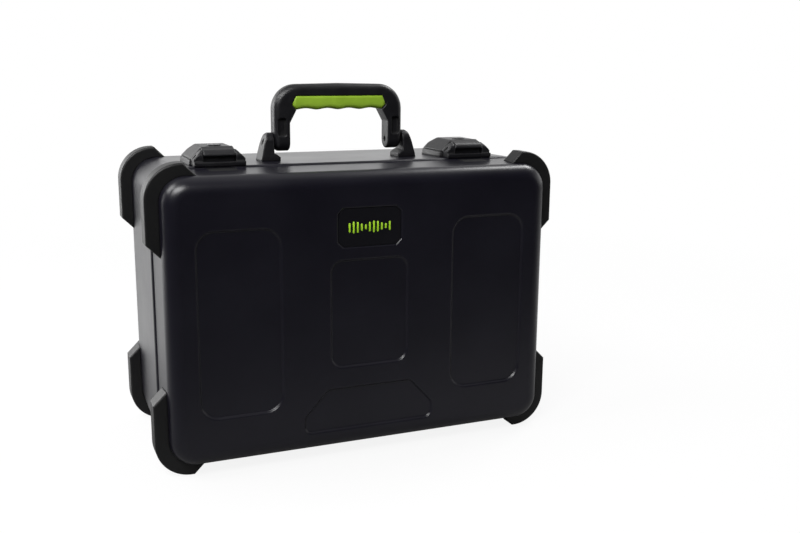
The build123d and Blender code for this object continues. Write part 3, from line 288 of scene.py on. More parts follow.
def make_marks():
    """Slow change over a surface, as left by moulding and handling: a soft mask and a few faint scuffs."""
    outputs = [("Patches", "Float"), ("Scuffs", "Float")]
    tree, start, end = effect("handling marks", [("Patch size", "Float", 0.08)], outputs)
    place = object_place(tree)
    scale = maths(tree, "DIVIDE", 1.0, start.outputs["Patch size"])
    patches = noise_over(tree, place, scale, detail=4.0, roughness=0.55)
    stretched = vector_maths(tree, "MULTIPLY", place, SCUFF_STRETCH).outputs[0]
    scuff_scale = maths(tree, "MULTIPLY", scale, SCUFF_FINER)
    scuffs = ramp(tree, noise_over(tree, stretched, scuff_scale, detail=6.0, roughness=0.7), *SCUFF_PEAKS)
    wire(tree, (patches, end.inputs["Patches"]), (scuffs, end.inputs["Scuffs"]))
    return tree


def make_soft_edges():
    """Edges that catch the light: the bent normal of a small rounding, and a mask of where it is."""
    outputs = [("Normal", "Vector"), ("Edge", "Float")]
    tree, start, end = effect("rounded edges", [("Radius", "Float", 0.0008)], outputs)
    bevel = add(tree, "ShaderNodeBevel", samples=6)
    wire(tree, (start.outputs["Radius"], bevel.inputs["Radius"]), (bevel.outputs[0], end.inputs["Normal"]))
    face = add(tree, "ShaderNodeNewGeometry").outputs["Normal"]
    same = vector_maths(tree, "DOT_PRODUCT", bevel.outputs[0], face).outputs["Value"]
    wire(tree, (ramp(tree, same, *EDGE_BEND), end.inputs["Edge"]))
    return tree


def make_hollow_shade():
    """A mask of slots, holes and inner corners, where a surface lies close to itself; moulded finishes paint
    shade into their colour with it.
    """
    tree, start, end = effect("hollows", [("Reach", "Float", 0.006)], [("Hollow", "Float")])
    near = add(tree, "ShaderNodeAmbientOcclusion", samples=8, only_local=True)
    wire(tree, (start.outputs["Reach"], near.inputs["Distance"]))
    wire(tree, (ramp(tree, near.outputs["AO"], *HOLLOW_OPENNESS), end.inputs["Hollow"]))
    return tree


def make_brushing():
    """Fine streaks in metal."""
    sizes = [("Stretch", "Vector", (1.0, 1.0, 1.0)), ("Scale", "Float", STREAK_SCALE)]
    tree, start, end = effect("brushing", sizes, [("Streaks", "Float")])
    stretched = vector_maths(tree, "MULTIPLY", object_place(tree), start.outputs["Stretch"]).outputs[0]
    streaks = noise_over(tree, stretched, start.outputs["Scale"], detail=4.0, roughness=0.7)
    wire(tree, (streaks, end.inputs["Streaks"]))
    return tree


grain = make_grain()
marks = make_marks()
soft_edges = make_soft_edges()
hollows = make_hollow_shade()
brushing = make_brushing()


# ---- Finishes ----

def place_effect(tree, group, **inputs):
    """The outputs of an effect placed in a material with its own values."""
    made = add(tree, "ShaderNodeGroup", node_tree=group)
    for name, value in inputs.items():
        made.inputs[name.replace("_", " ").capitalize()].default_value = value
    return made.outputs


def finish(name):
    """A new material: its tree and its Principled shader."""
    material = bpy.data.materials.new(name)
    material.use_nodes = True
    tree = material.node_tree
    return material, tree, tree.nodes["Principled BSDF"]


def between(tree, mask, low, high):
    """Value that goes from low to high over the middle of a noise mask."""
    return ramp(tree, mask, *NOISE_MIDDLE, low, high)


def relieve(tree, shader, height, strength, distance, normal=None, invert=False):
    """Relief on a shader's surface, over the plain normal or another one."""
    bump = add(tree, "ShaderNodeBump", {"Strength": strength, "Distance": distance}, invert=invert)
    wire(tree, (height, bump.inputs["Height"]), (bump.outputs[0], shader.inputs["Normal"]))
    feed(tree, normal, bump.inputs["Normal"])


def moulded(name, dark, light, rough, cell, relief, edge,
            specular=0.5, patch=0.08, edge_highlight=0.6, scuff=0.05):
    """Moulded plastic or rubber: colour patches, varied gloss, grain, softened edges with a painted
    highlight, and painted shade in hollows.
    """
    material, tree, shader = finish(name)
    handled = place_effect(tree, marks, patch_size=patch)
    rounded = place_effect(tree, soft_edges, radius=edge)
    height = place_effect(tree, grain, cell_size=cell)["Height"]
    hollow = place_effect(tree, hollows, reach=HOLLOW_REACH)["Hollow"]
    face = blend(tree, between(tree, handled["Patches"], 0.0, 1.0), dark, light)
    # Painted highlight: rounded edges take a lighter colour, standing in for the sheen they catch.
    edge_highlight_colour = [min(1.0, c * EDGE_HIGHLIGHT_GAIN + EDGE_HIGHLIGHT_LIFT) for c in light]
    painted_edge_highlight = blend(tree, maths(tree, "MULTIPLY", rounded["Edge"], edge_highlight), face, edge_highlight_colour)
    # Painted shade: hollows take a darker colour, standing in for the shade that falls in slots and inner
    # corners.
    shaded = blend(tree, hollow, painted_edge_highlight, [c * PAINTED_HOLLOW_SHADE for c in dark])
    gloss = between(tree, handled["Patches"], rough - GLOSS_CHANGE, rough + GLOSS_CHANGE)
    scuffed = maths(tree, "MULTIPLY", handled["Scuffs"], scuff)
    dull = maths(tree, "ADD", scuffed, maths(tree, "MULTIPLY", hollow, HOLLOW_DULLING))
    wire(tree, (shaded, shader.inputs["Base Color"]))
    wire(tree, (maths(tree, "ADD", gloss, dull, clamp=True), shader.inputs["Roughness"]))
    relieve(tree, shader, height, strength=1.0, distance=relief, normal=rounded["Normal"])
    shader.inputs["Specular IOR Level"].default_value = specular
    return material


def metal(name, dark, light, rough, metallic, stretch, edge):
    """Plated or coated steel: streaks in its colour and gloss, softened edges."""
    material, tree, shader = finish(name)
    streaks = place_effect(tree, brushing, stretch=stretch)["Streaks"]
    rounded = place_effect(tree, soft_edges, radius=edge)
    smoother, rougher = (rough + change for change in STREAK_GLOSS)
    wire(tree, (blend(tree, streaks, dark, light), shader.inputs["Base Color"]))
    wire(tree, (between(tree, streaks, smoother, rougher), shader.inputs["Roughness"]))
    relieve(tree, shader, streaks, strength=0.4, distance=STREAK_RELIEF, normal=rounded["Normal"])
    shader.inputs["Metallic"].default_value = metallic
    return material


def foam_finish():
    """Closed-cell foam: fine cells with painted shade in the sunken gaps round them."""
    material, tree, shader = finish("charcoal foam")
    pores = add(tree, "ShaderNodeTexVoronoi", {"Scale": FOAM_PORE_SCALE})
    wire(tree, (object_place(tree), pores.inputs["Vector"]))
    from_middle = pores.outputs["Distance"]
    patches = place_effect(tree, marks, patch_size=0.05)["Patches"]
    base = blend(tree, between(tree, patches, 0.0, 1.0), FOAM_DARK, FOAM_LIGHT)
    # Painted shade: the sunken gaps between cells take a darker colour.
    painted_pore_shade = blend(tree, ramp(tree, from_middle, *FOAM_PORE_RIM), base, FOAM_PORE_SHADE)
    wire(tree, (painted_pore_shade, shader.inputs["Base Color"]))
    relieve(tree, shader, from_middle, strength=0.8, distance=FOAM_PORE_RELIEF, invert=True)
    shader.inputs["Roughness"].default_value = 0.95
    shader.inputs["Specular IOR Level"].default_value = 0.2
    shader.inputs["Sheen Weight"].default_value = 0.25
    return material


FINISHES = {
    "shell_plastic": moulded(
        "black moulded shell", dark=(0.0043, 0.0039, 0.0078), light=(0.0061, 0.0056, 0.0104),
        rough=0.30, cell=0.0011, relief=0.000025, edge=0.0016, scuff=0.01),
    "guard_plastic": moulded(
        "matte black guard", dark=(0.0038, 0.0038, 0.0041), light=(0.0056, 0.0056, 0.0060),
        rough=0.46, cell=0.0009, relief=0.00010, edge=0.0018, specular=0.4),
    "fitting_plastic": moulded(
        "black nylon fitting", dark=(0.0034, 0.0033, 0.0046), light=(0.0064, 0.0062, 0.0080),
        rough=0.40, cell=0.0016, relief=0.00020, edge=0.0026, patch=0.02, edge_highlight=0.4),
    "grip": moulded(
        "lime rubber grip", dark=(0.218, 0.374, 0.016), light=(0.288, 0.468, 0.028),
        rough=0.46, cell=0.0008, relief=0.00005, edge=0.0008, patch=0.02, edge_highlight=0.2),
    "badge": moulded(
        "badge inlay", dark=(0.0030, 0.0029, 0.0046), light=(0.0040, 0.0038, 0.0060),
        rough=0.30, cell=0.0006, relief=0.00001, edge=0.0005),
    "badge_mark": moulded(
        "lime badge bars", dark=(0.300, 0.560, 0.012), light=(0.350, 0.620, 0.018),
        rough=0.32, cell=0.0006, relief=0.00001, edge=0.0003, edge_highlight=0.1),
    "black_steel": metal(
        "black coated steel", dark=(0.018, 0.018, 0.019), light=(0.035, 0.035, 0.036),
        rough=0.42, metallic=0.55, stretch=(0.05, 1.0, 1.0), edge=0.0004),
    "fasteners": metal(
        "zinc plated steel", dark=(0.42, 0.42, 0.43), light=(0.60, 0.60, 0.60),
        rough=0.34, metallic=1.0, stretch=(1.0, 1.0, 0.3), edge=0.0002),
    "lock_metal": metal(
        "dark plated lock", dark=(0.10, 0.10, 0.105), light=(0.17, 0.17, 0.175),
        rough=0.36, metallic=1.0, stretch=(1.0, 1.0, 0.2), edge=0.0003),
    "foam": foam_finish(),
}


def dress_cad():
    """Every CAD node takes the finish of its slot."""
    for part in frame["record"]["subparts"]:
        mesh = cad[part["node"]].data
        mesh.materials.clear()
        mesh.materials.append(FINISHES[part["material_slot"]])


# ---- Mesh helpers ----

def link(name, mesh):
    """A new piece in the scene."""
    piece = bpy.data.objects.new(name, mesh)
    bpy.context.scene.collection.objects.link(piece)
    return piece


def merged_copy(node, name):
    """A CAD node's shape as one joined mesh."""
    shape = bmesh.new()
    shape.from_mesh(cad[node].data)
    bmesh.ops.remove_doubles(shape, verts=shape.verts, dist=CAD_WELD)
    mesh = bpy.data.meshes.new(name)
    shape.to_mesh(mesh)
    shape.free()
    mesh.materials.clear()
    return link(name, mesh)


def settle(piece):
    """The piece's modifiers made into its mesh, and taken off."""
    graph = bpy.context.evaluated_depsgraph_get()
    mesh = bpy.data.meshes.new_from_object(piece.evaluated_get(graph))
    piece.modifiers.clear()
    piece.data = mesh
    return piece


def paint(piece, slot):
    """The piece takes the finish of a slot, shaded smooth."""
    piece.data.materials.clear()
    piece.data.materials.append(FINISHES[slot])
    for face in piece.data.polygons:
        face.use_smooth = True


def stand_in(piece, slot, body, *nodes):
    """The piece takes a finish, rides on a body and stands for CAD nodes."""
    paint(piece, slot)
    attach(piece, body)
    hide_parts(*nodes)


# ---- Geometry node helpers ----

def rule(name, sizes):
    """A geometry tree with named sizes."""
    inputs = [("Start", "Geometry", None), *sizes]
    return new_tree(name, "GeometryNodeTree", inputs, [("Result", "Geometry")])


def run_rule(piece, tree, sizes):
    """Applies a geometry tree to a piece with its own sizes, given by socket name."""
    change = piece.modifiers.new("rule", "NODES")
    change.node_group = tree
    for socket in tree.interface.items_tree:
        if socket.in_out == "INPUT" and socket.name in sizes:
            change[socket.identifier] = sizes[socket.name]
    settle(piece)


def attribute(tree, name, kind="FLOAT"):
    """A named value that a place carries."""
    return add(tree, "GeometryNodeInputNamedAttribute", {"Name": name}, data_type=kind).outputs[0]


def moved(tree, geometry, offset):
    """Geometry with every point moved by an offset."""
    made = add(tree, "GeometryNodeSetPosition")
    wire(tree, (geometry, made.inputs["Geometry"]), (offset, made.inputs["Offset"]))
    return made.outputs[0]


def coated(tree, geometry, material, end):
    """Gives geometry its material and sends it out of the tree."""
    made = add(tree, "GeometryNodeSetMaterial")
    wire(tree, (geometry, made.inputs["Geometry"]), (material, made.inputs["Material"]))
    wire(tree, (made.outputs[0], end.inputs[0]))


# ---- Foam ----

def soften(piece):
    """Cut foam: edges rounded by a fine remesh and smoothing, faces a little uneven."""
    remesh = piece.modifiers.new("cells", "REMESH")
    remesh.mode = "VOXEL"
    remesh.voxel_size = FOAM_VOXEL
    ease = piece.modifiers.new("edges", "SMOOTH")
    ease.factor = 0.5
    ease.iterations = FOAM_EDGE_PASSES
    mesh = settle(piece).data
    places = np.zeros(len(mesh.vertices) * 3, np.float32)
    outward = np.zeros(len(mesh.vertices) * 3, np.float32)
    mesh.vertices.foreach_get("co", places)
    mesh.vertex_normals.foreach_get("vector", outward)
    places = places.reshape(-1, 3)
    swell = [sum(noise.noise(Vector(p) * lumps) * share for lumps, share in FOAM_LUMPS) for p in places]
    drawn_in = FOAM_SWELL * (FOAM_SINK + np.array(swell, np.float32))
    places -= outward.reshape(-1, 3) * drawn_in[:, None]
    mesh.vertices.foreach_set("co", places.ravel())
    mesh.update()


def egg_crate_rule():
    """Peaks and hollows on the face of a foam pad, fading out at its border."""
    sizes = [
        ("Pitch", "Float", CRATE_PITCH),
        ("Depth", "Float", CRATE_DEPTH),
        ("Border", "Float", CRATE_BORDER),
        ("Face", "Float", 0.0),
        ("Middle", "Vector", (0.0, 0.0, 0.0)),
        ("Half", "Vector", (0.1, 0.1, 0.1)),
        ("Material", "Material", None),
    ]
    tree, start, end = rule("egg crate", sizes)
    take = start.outputs
    place = add(tree, "GeometryNodeInputPosition").outputs[0]
    local = split(tree, vector_maths(tree, "SUBTRACT", place, take["Middle"]).outputs[0])
    half = split(tree, take["Half"])
    waves = []
    fades = []
    for axis in ("X", "Z"):
        turn = maths(tree, "DIVIDE", local[axis], take["Pitch"])
        waves.append(maths(tree, "COSINE", maths(tree, "MULTIPLY", turn, 2 * pi)))
        room = maths(tree, "SUBTRACT", half[axis], maths(tree, "ABSOLUTE", local[axis]))
        fades.append(maths(tree, "DIVIDE", room, take["Border"], clamp=True))
    fade = maths(tree, "MULTIPLY", *fades)
    hollow = maths(tree, "MULTIPLY", maths(tree, "SUBTRACT", 1.0, maths(tree, "MULTIPLY", *waves)), 0.5)
    front = maths(tree, "GREATER_THAN", split(tree, place)["Y"], take["Face"])
    depth = maths(tree, "MULTIPLY", take["Depth"], front)
    drop = maths(tree, "MULTIPLY", maths(tree, "MULTIPLY", hollow, fade), depth)
    offset = combine(tree, y=maths(tree, "MULTIPLY", drop, -1.0))
    coated(tree, moved(tree, take["Start"], offset), take["Material"], end)
    return tree


def foam_pieces():
    """The foam blocks with their pockets, and the lid's egg-crate liner."""
    for node in ("foam_back_pad", "foam_mic_row_upper", "foam_mic_row_lower", "foam_accessory_tray"):
        piece = merged_copy(node, "soft_" + node)
        soften(piece)
        stand_in(piece, "foam", "case_body", node)
    liner = merged_copy("foam_lid_liner", "soft_foam_lid_liner")
    soften(liner)
    low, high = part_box("foam_lid_liner")
    sizes = {
        "Face": high.y - CRATE_FACE,
        "Middle": tuple((low + high) / 2),
        "Half": tuple((high - low) / 2),
        "Material": FINISHES["foam"],
    }
    run_rule(liner, egg_crate_rule(), sizes)
    stand_in(liner, "foam", "lid", "foam_lid_liner")


# ---- Grip ----

def grip_section(x, box_low, box_high):
    """Lowest and highest z and half depth of the grip at a place along it."""
    shoulder_z = box_high.z - GRIP_SHOULDER
    reach = box_high.x - GRIP_END_SLOPE
    past = max(0.0, (abs(x) - reach) / GRIP_END_SLOPE)
    top = box_high.z - GRIP_SHOULDER * past
    foot = box_low.z + (shoulder_z - box_low.z) * past
    if not past:
        turn = (x + reach) / (2 * reach) * GRIP_FINGERS
        foot += GRIP_HOLLOW * (0.5 - 0.5 * cos(2 * pi * turn)) ** GRIP_HOLLOW_POWER
    depth = (box_high.y - box_low.y) / 2 * (1 - GRIP_END_THINNING * past ** 2)
    return foot, top, depth


def squared(value, power):
    """A sine or cosine pushed towards 1 or -1, which squares a round section."""
    return abs(value) ** power * (1 if value > 0 else -1)


def soft_grip():
    """Soft insert under the handle's bar: lofted sections, rounded below, with hollows for the fingers."""
    low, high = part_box("handle_grip")
    middle_y = (low.y + high.y) / 2
    shape = bmesh.new()
    rings = []
    for i in range(GRIP_STATIONS + 1):
        x = low.x + (high.x - low.x) * (0.5 - 0.5 * cos(pi * i / GRIP_STATIONS))
        foot, top, depth = grip_section(x, low, high)
        ring = []
        for k in range(GRIP_ROUND):
            turn = 2 * pi * k / GRIP_ROUND
            power = GRIP_TOP_POWER if sin(turn) > 0 else GRIP_UNDER_POWER
            y = middle_y + depth * squared(cos(turn), power)
            z = (foot + top) / 2 + (top - foot) / 2 * squared(sin(turn), power)
            ring.append(shape.verts.new((x, y, z)))
        rings.append(ring)
    for ring, after in zip(rings, rings[1:]):
        for k in range(GRIP_ROUND):
            beside = (k + 1) % GRIP_ROUND
            shape.faces.new((ring[k], ring[beside], after[beside], after[k]))
    shape.faces.new(rings[0])
    shape.faces.new(rings[-1])
    bmesh.ops.remove_doubles(shape, verts=shape.verts, dist=HAIR)
    bmesh.ops.recalc_face_normals(shape, faces=shape.faces)
    mesh = bpy.data.meshes.new("soft_grip")
    shape.to_mesh(mesh)
    shape.free()
    stand_in(link("soft_grip", mesh), "grip", "handle", "handle_grip")


# ---- Screws and rivets ----

def separate_solids(shape):
    """The vertices of each separate solid of a mesh, in the same order on every run."""
    taken = set()
    for first in shape.verts:
        if first in taken:
            continue
        taken.add(first)
        group = [first]
        for vertex in group:
            for edge in vertex.link_edges:
                other = edge.other_vert(vertex)
                if other not in taken:
                    taken.add(other)
                    group.append(other)
        yield group


def largest_flat(faces):
    """Direction of the largest flat face, added up from its triangles."""
    areas = {}
    for face in faces:
        height = face.calc_center_median().dot(face.normal)
        key = tuple(round(c, 2) for c in face.normal) + (round(height, 4),)
        areas[key] = areas.get(key, 0.0) + face.calc_area()
    widest = max(areas, key=lambda key: (round(areas[key], 7), key))
    return Vector(widest[:3]).normalized()


def fastener_places(node):
    """Where a node's screws or rivets are: head centre, outward direction and whole length of each."""
    shape = bmesh.new()
    shape.from_mesh(cad[node].data)
    bmesh.ops.remove_doubles(shape, verts=shape.verts, dist=CAD_WELD)
    places = []
    for group in separate_solids(shape):
        outward = largest_flat(dict.fromkeys(face for vertex in group for face in vertex.link_faces))
        heights = [vertex.co.dot(outward) for vertex in group]
        centre = sum((vertex.co for vertex in group), Vector()) / len(group)
        centre += outward * (max(heights) - centre.dot(outward))
        places.append((centre, outward, max(heights) - min(heights)))
    shape.free()
    return sorted(places, key=lambda place: tuple(round(c, 5) for c in place[0]))


def places_mesh(name, places):
    """Loose points that carry each fastener's or bar's direction and length."""
    mesh = bpy.data.meshes.new(name)
    mesh.from_pydata([place for place, _, _ in places], [], [])
    mesh.attributes.new("outward", "FLOAT_VECTOR", "POINT")
    mesh.attributes.new("reach", "FLOAT", "POINT")
    for i, (_, direction, length) in enumerate(places):
        mesh.attributes["outward"].data[i].vector = direction
        mesh.attributes["reach"].data[i].value = length
    return link(name, mesh)


def crowned_head(tree, radius, height, crown):
    """A round head whose top falls away to its rim, with its top at z = 0."""
    disc = add(tree, "GeometryNodeMeshCylinder", {"Vertices": 28, "Side Segments": 2, "Fill Segments": 5})
    wire(tree, (radius, disc.inputs["Radius"]), (height, disc.inputs["Depth"]))
    parts = split(tree, add(tree, "GeometryNodeInputPosition").outputs[0])
    flat = combine(tree, parts["X"], parts["Y"])
    share = maths(tree, "DIVIDE", vector_maths(tree, "LENGTH", flat).outputs["Value"], radius)
    fall = maths(tree, "MULTIPLY", maths(tree, "POWER", share, CROWN_POWER), crown)
    top = maths(tree, "GREATER_THAN", parts["Z"], HAIR)
    sunk = maths(tree, "MULTIPLY", maths(tree, "MULTIPLY", fall, top), -1.0)
    down = maths(tree, "MULTIPLY", height, -0.5)
    return moved(tree, disc.outputs["Mesh"], combine(tree, z=maths(tree, "ADD", sunk, down)))


def on_places(tree, places, shape, scale=None):
    """Copies of a shape on every place, turned to its outward direction."""
    turn = add(tree, "FunctionNodeAlignRotationToVector", axis="Z")
    copies = add(tree, "GeometryNodeInstanceOnPoints")
    wire(tree, (attribute(tree, "outward", "FLOAT_VECTOR"), turn.inputs["Vector"]))
    wire(tree, (places, copies.inputs["Points"]), (shape, copies.inputs["Instance"]))
    wire(tree, (turn.outputs[0], copies.inputs["Rotation"]))
    feed(tree, scale, copies.inputs["Scale"])
    return copies.outputs[0]


def shank(tree, radius):
    """A round bar one metre long below z = 0, to be scaled to each place's reach."""
    bar = add(tree, "GeometryNodeMeshCylinder", {"Vertices": 20, "Depth": 1.0})
    lower = add(tree, "GeometryNodeTransform", {"Translation": (0.0, 0.0, -0.5)})
    wire(tree, (radius, bar.inputs["Radius"]), (bar.outputs["Mesh"], lower.inputs["Geometry"]))
    return lower.outputs[0]


def shifted(tree, copies, z):
    """Copies moved along their own outward direction, by a length in their own scale."""
    made = add(tree, "GeometryNodeTranslateInstances", {"Local Space": True})
    wire(tree, (copies, made.inputs["Instances"]), (combine(tree, z=z), made.inputs["Translation"]))
    return made.outputs[0]


def closing(tree, end, material, *shapes):
    """Joins the shapes, makes them real and gives them their material."""
    joined = add(tree, "GeometryNodeJoinGeometry")
    for shape in shapes:
        wire(tree, (shape, joined.inputs[0]))
    real = add(tree, "GeometryNodeRealizeInstances")
    wire(tree, (joined.outputs[0], real.inputs[0]))
    coated(tree, real.outputs[0], material, end)


def screw_rule():
    """Pan-head screws with a cross recess, one on every place."""
    sizes = [
        ("Head radius", "Float", SCREW_HEAD_RADIUS),
        ("Head height", "Float", SCREW_HEAD_HEIGHT),
        ("Crown", "Float", SCREW_CROWN),
        ("Shank radius", "Float", SCREW_SHANK),
        ("Recess width", "Float", RECESS_WIDTH),
        ("Recess length", "Float", RECESS_LENGTH),
        ("Recess depth", "Float", RECESS_DEPTH),
        ("Material", "Material", None),
    ]
    tree, start, end = rule("cross recess screws", sizes)
    take = start.outputs
    head = crowned_head(tree, take["Head radius"], take["Head height"], take["Crown"])
    drive = add(tree, "GeometryNodeMeshBoolean", operation="DIFFERENCE", solver="EXACT")
    drive.inputs["Self Intersection"].default_value = True
    wire(tree, (head, drive.inputs["Mesh 1"]))
    for x, y in (("Recess width", "Recess length"), ("Recess length", "Recess width")):
        cube = add(tree, "GeometryNodeMeshCube")
        wire(tree, (combine(tree, take[x], take[y], take["Recess depth"]), cube.inputs["Size"]))
        wire(tree, (cube.outputs["Mesh"], drive.inputs["Mesh 2"]))
    reach = attribute(tree, "reach")
    heads = on_places(tree, take["Start"], drive.outputs["Mesh"])
    whole = on_places(tree, take["Start"], shank(tree, take["Shank radius"]), combine(tree, 1.0, 1.0, reach))
    sunk = shifted(tree, whole, maths(tree, "MULTIPLY", take["Head height"], SCREW_SHANK_DROP))
    shorter = add(tree, "GeometryNodeScaleInstances", {"Local Space": True})
    short = maths(tree, "DIVIDE", maths(tree, "SUBTRACT", reach, take["Head height"]), reach)
    wire(tree, (sunk, shorter.inputs["Instances"]), (combine(tree, 1.0, 1.0, short), shorter.inputs["Scale"]))
    closing(tree, end, take["Material"], heads, shorter.outputs[0])
    return tree


def rivet_rule():
    """Flat rivets: a crowned head at each end of the shank, one on every place."""
    sizes = [
        ("Head radius", "Float", RIVET_HEAD_RADIUS),
        ("Head height", "Float", RIVET_HEAD_HEIGHT),
        ("Crown", "Float", RIVET_CROWN),
        ("Shank radius", "Float", RIVET_SHANK),
        ("Material", "Material", None),
    ]
    tree, start, end = rule("hinge rivets", sizes)
    take = start.outputs
    head = crowned_head(tree, take["Head radius"], take["Head height"], take["Crown"])
    reach = attribute(tree, "reach")
    near = on_places(tree, take["Start"], head)
    turned = add(tree, "GeometryNodeTransform", {"Rotation": (pi, 0.0, 0.0)})
    wire(tree, (head, turned.inputs["Geometry"]))
    other = on_places(tree, take["Start"], turned.outputs[0])
    far = shifted(tree, other, maths(tree, "MULTIPLY", reach, -1.0))
    length = combine(tree, 1.0, 1.0, maths(tree, "MULTIPLY", reach, RIVET_SHANK_SHARE))
    bars = on_places(tree, take["Start"], shank(tree, take["Shank radius"]), length)
    closing(tree, end, take["Material"], near, far, bars)
    return tree


def fasteners():
    """Screws and rivets, one piece for each CAD node of them."""
    kinds = (("cross_", screw_rule(), SCREW_HOMES), ("round_", rivet_rule(), RIVET_HOMES))
    for prefix, shape_rule, homes in kinds:
        for node, body in homes.items():
            piece = places_mesh(prefix + node, fastener_places(node))
            run_rule(piece, shape_rule, {"Material": FINISHES["fasteners"]})
            stand_in(piece, "fasteners", body, node)


# ---- Badge bars ----

def bar_places(node):
    """Middle and size of each bar of the badge, from left to right."""
    shape = bmesh.new()
    shape.from_mesh(cad[node].data)
    xs = sorted({round(v.co.x, 5) for v in shape.verts})
    groups = [[xs[0]]]
    for x in xs[1:]:
        if x - groups[-1][-1] > BAR_GAP:
            groups.append([])
        groups[-1].append(x)
    found = []
    for group in groups:
        own = [v.co for v in shape.verts if group[0] - HAIR <= v.co.x <= group[-1] + HAIR]
        low = Vector([min(c[i] for c in own) for i in range(3)])
        high = Vector([max(c[i] for c in own) for i in range(3)])
        found.append(((low + high) / 2, high - low))
    shape.free()
    return found


def bar_rule():
    """Raised bars with round ends and a drawn-in face: a cone stretched along Z at every place."""
    sizes = [
        ("Width", "Float", 0.0024),
        ("Raise", "Float", 0.0008),
        ("Draw in", "Float", BAR_DRAW_IN),
        ("Material", "Material", None),
    ]
    tree, start, end = rule("badge bars", sizes)
    take = start.outputs
    cone = add(tree, "GeometryNodeMeshCone", {"Vertices": 24, "Side Segments": 3})
    half = maths(tree, "MULTIPLY", take["Width"], 0.5)
    face = maths(tree, "SUBTRACT", half, take["Draw in"])
    wire(tree, (half, cone.inputs["Radius Bottom"]), (face, cone.inputs["Radius Top"]))
    wire(tree, (take["Raise"], cone.inputs["Depth"]))
    parts = split(tree, add(tree, "GeometryNodeInputPosition").outputs[0])
    keep = add(tree, "GeometryNodeStoreNamedAttribute", {"Name": "end"}, data_type="FLOAT", domain="POINT")
    wire(tree, (cone.outputs["Mesh"], keep.inputs["Geometry"]))
    wire(tree, (maths(tree, "SIGN", parts["Y"]), keep.inputs["Value"]))
    upright = add(tree, "GeometryNodeTransform", {"Rotation": (pi / 2, 0.0, 0.0)})
    wire(tree, (keep.outputs[0], upright.inputs["Geometry"]))
    copies = add(tree, "GeometryNodeInstanceOnPoints")
    wire(tree, (take["Start"], copies.inputs["Points"]), (upright.outputs[0], copies.inputs["Instance"]))
    real = add(tree, "GeometryNodeRealizeInstances")
    wire(tree, (copies.outputs[0], real.inputs[0]))
    straight = maths(tree, "SUBTRACT", maths(tree, "MULTIPLY", attribute(tree, "reach"), 0.5), half)
    apart = maths(tree, "MULTIPLY", attribute(tree, "end"), straight)
    bars = moved(tree, real.outputs[0], combine(tree, z=apart))
    coated(tree, bars, take["Material"], end)
    return tree


def badge():
    """The badge's row of raised bars."""
    bars = bar_places("badge_bars")
    width, raised, _ = bars[0][1]
    forward = Vector((0.0, -1.0, 0.0))
    places = [(centre - forward * (raised / 2), forward, size.z) for centre, size in bars]
    piece = places_mesh("raised_badge_bars", places)
    run_rule(piece, bar_rule(), {"Width": width, "Raise": raised, "Material": FINISHES["badge_mark"]})
    stand_in(piece, "badge_mark", "lid", "badge_bars")


# ---- Studio ----

def world_light():
    """White for the camera; mirrored light from a low band behind the case, soft light from the same side."""
    world = bpy.data.worlds.new("studio")
    bpy.context.scene.world = world
    world.use_nodes = True
    tree = world.node_tree
    tree.nodes.clear()
    towards = add(tree, "ShaderNodeTexCoord").outputs["Generated"]
    along = vector_maths(tree, "DOT_PRODUCT", towards, BRIGHT_SIDE).outputs["Value"]
    glow = ramp(tree, along, *GLOW_ALONG, *GLOW_LEVELS, smooth=True)
    band = ramp(tree, split(tree, towards)["Z"], *BAND_RISE, *BAND_LEVELS, smooth=True)
    path = add(tree, "ShaderNodeLightPath").outputs
    seen = maths(tree, "ADD", path["Is Camera Ray"], path["Is Transmission Ray"], clamp=True)
    mirrored = maths(tree, "MULTIPLY", path["Is Glossy Ray"], maths(tree, "MULTIPLY", glow, band))
    soft = maths(tree, "MULTIPLY", glow, SOFT_SHARE)
    level = maths(tree, "MAXIMUM", maths(tree, "MAXIMUM", seen, mirrored), soft)
    back = add(tree, "ShaderNodeBackground", {"Color": WHITE})
    out = add(tree, "ShaderNodeOutputWorld")
    wire(tree, (level, back.inputs["Strength"]), (back.outputs[0], out.inputs["Surface"]))


def mixed(tree, share, first, second):
    """Two shaders mixed by a number or a socket."""
    made = add(tree, "ShaderNodeMixShader")
    feed(tree, share, made.inputs[0])
    wire(tree, (first, made.inputs[1]), (second, made.inputs[2]))
    return made.outputs[0]


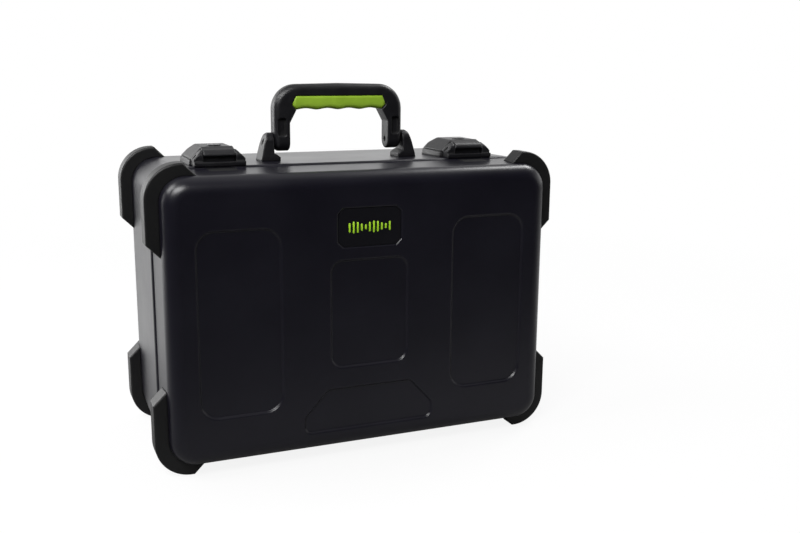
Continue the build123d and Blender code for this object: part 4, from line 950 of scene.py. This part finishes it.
def floor():
    """Pale floor that runs into the white behind it and keeps the case's soft shadow."""
    mesh = bpy.data.meshes.new("floor")
    corners = [(x * FLOOR_REACH, y * FLOOR_REACH, 0) for x, y in ((-1, -1), (1, -1), (1, 1), (-1, 1))]
    mesh.from_pydata(corners, [], [(0, 1, 2, 3)])
    piece = link("floor", mesh)
    material = bpy.data.materials.new("pale floor")
    material.use_nodes = True
    tree = material.node_tree
    tree.nodes.clear()
    place = object_place(tree)
    path = add(tree, "ShaderNodeLightPath").outputs
    lit = add(tree, "ShaderNodeBsdfDiffuse", {"Color": FLOOR_GREY}).outputs[0]
    white = add(tree, "ShaderNodeEmission", {"Color": WHITE, "Strength": 1.0}).outputs[0]
    away = vector_maths(tree, "LENGTH", place).outputs["Value"]
    near = mixed(tree, FLOOR_WHITENESS, lit, white)
    seen = mixed(tree, ramp(tree, away, *FLOOR_FADE, smooth=True), near, white)
    along = vector_maths(tree, "DOT_PRODUCT", place, BRIGHT_SIDE).outputs["Value"]
    mirror_shade = 0.0
    for start, stop, gain in FLOOR_IN_MIRROR:
        step = ramp(tree, along, start, stop, 0.0, gain, smooth=True)
        mirror_shade = maths(tree, "ADD", mirror_shade, step)
    mirrored = maths(tree, "MULTIPLY", path["Is Glossy Ray"], mirror_shade)
    not_mirrored = maths(tree, "SUBTRACT", 1.0, path["Is Glossy Ray"])
    shade = maths(tree, "ADD", mirrored, maths(tree, "MULTIPLY", not_mirrored, FLOOR_BOUNCE))
    grey = add(tree, "ShaderNodeBsdfDiffuse")
    wire(tree, (combine(tree, shade, shade, shade), grey.inputs["Color"]))
    out = add(tree, "ShaderNodeOutputMaterial")
    wire(tree, (mixed(tree, path["Is Camera Ray"], grey.outputs[0], seen), out.inputs["Surface"]))
    mesh.materials.append(material)


def softbox(name, place, aim, size, power):
    """A rectangular area lamp turned to a point."""
    lamp = bpy.data.lights.new(name, "AREA")
    lamp.shape = "RECTANGLE"
    lamp.size, lamp.size_y = size
    lamp.energy = power
    piece = link(name, lamp)
    piece.location = place
    piece.rotation_euler = (Vector(aim) - Vector(place)).to_track_quat("-Z", "Y").to_euler()


def camera():
    """The photograph's viewing angle."""
    lens = bpy.data.cameras.new("camera")
    lens.lens = CAMERA_LENS
    lens.sensor_width = CAMERA_SENSOR
    lens.clip_start = CAMERA_NEAREST
    piece = link("camera", lens)
    turn, rise, roll = radians(CAMERA_TURN), radians(CAMERA_RISE), radians(CAMERA_ROLL)
    back = Vector((sin(turn) * cos(rise), -cos(turn) * cos(rise), sin(rise)))
    right = (-back).cross(Vector((0, 0, 1))).normalized()
    up = right.cross(-back)
    rolled_right = right * cos(roll) + up * sin(roll)
    rolled_up = up * cos(roll) - right * sin(roll)
    facing = Matrix((rolled_right, rolled_up, back)).transposed().to_4x4()
    piece.matrix_world = Matrix.Translation(CAMERA_PLACE) @ facing
    bpy.context.scene.camera = piece


camera()
dress_cad()
soft_grip()
fasteners()
badge()
foam_pieces()
world_light()
floor()
for lamp_values in LAMPS:
    softbox(*lamp_values)
bpy.context.scene.view_settings.view_transform = "Standard"
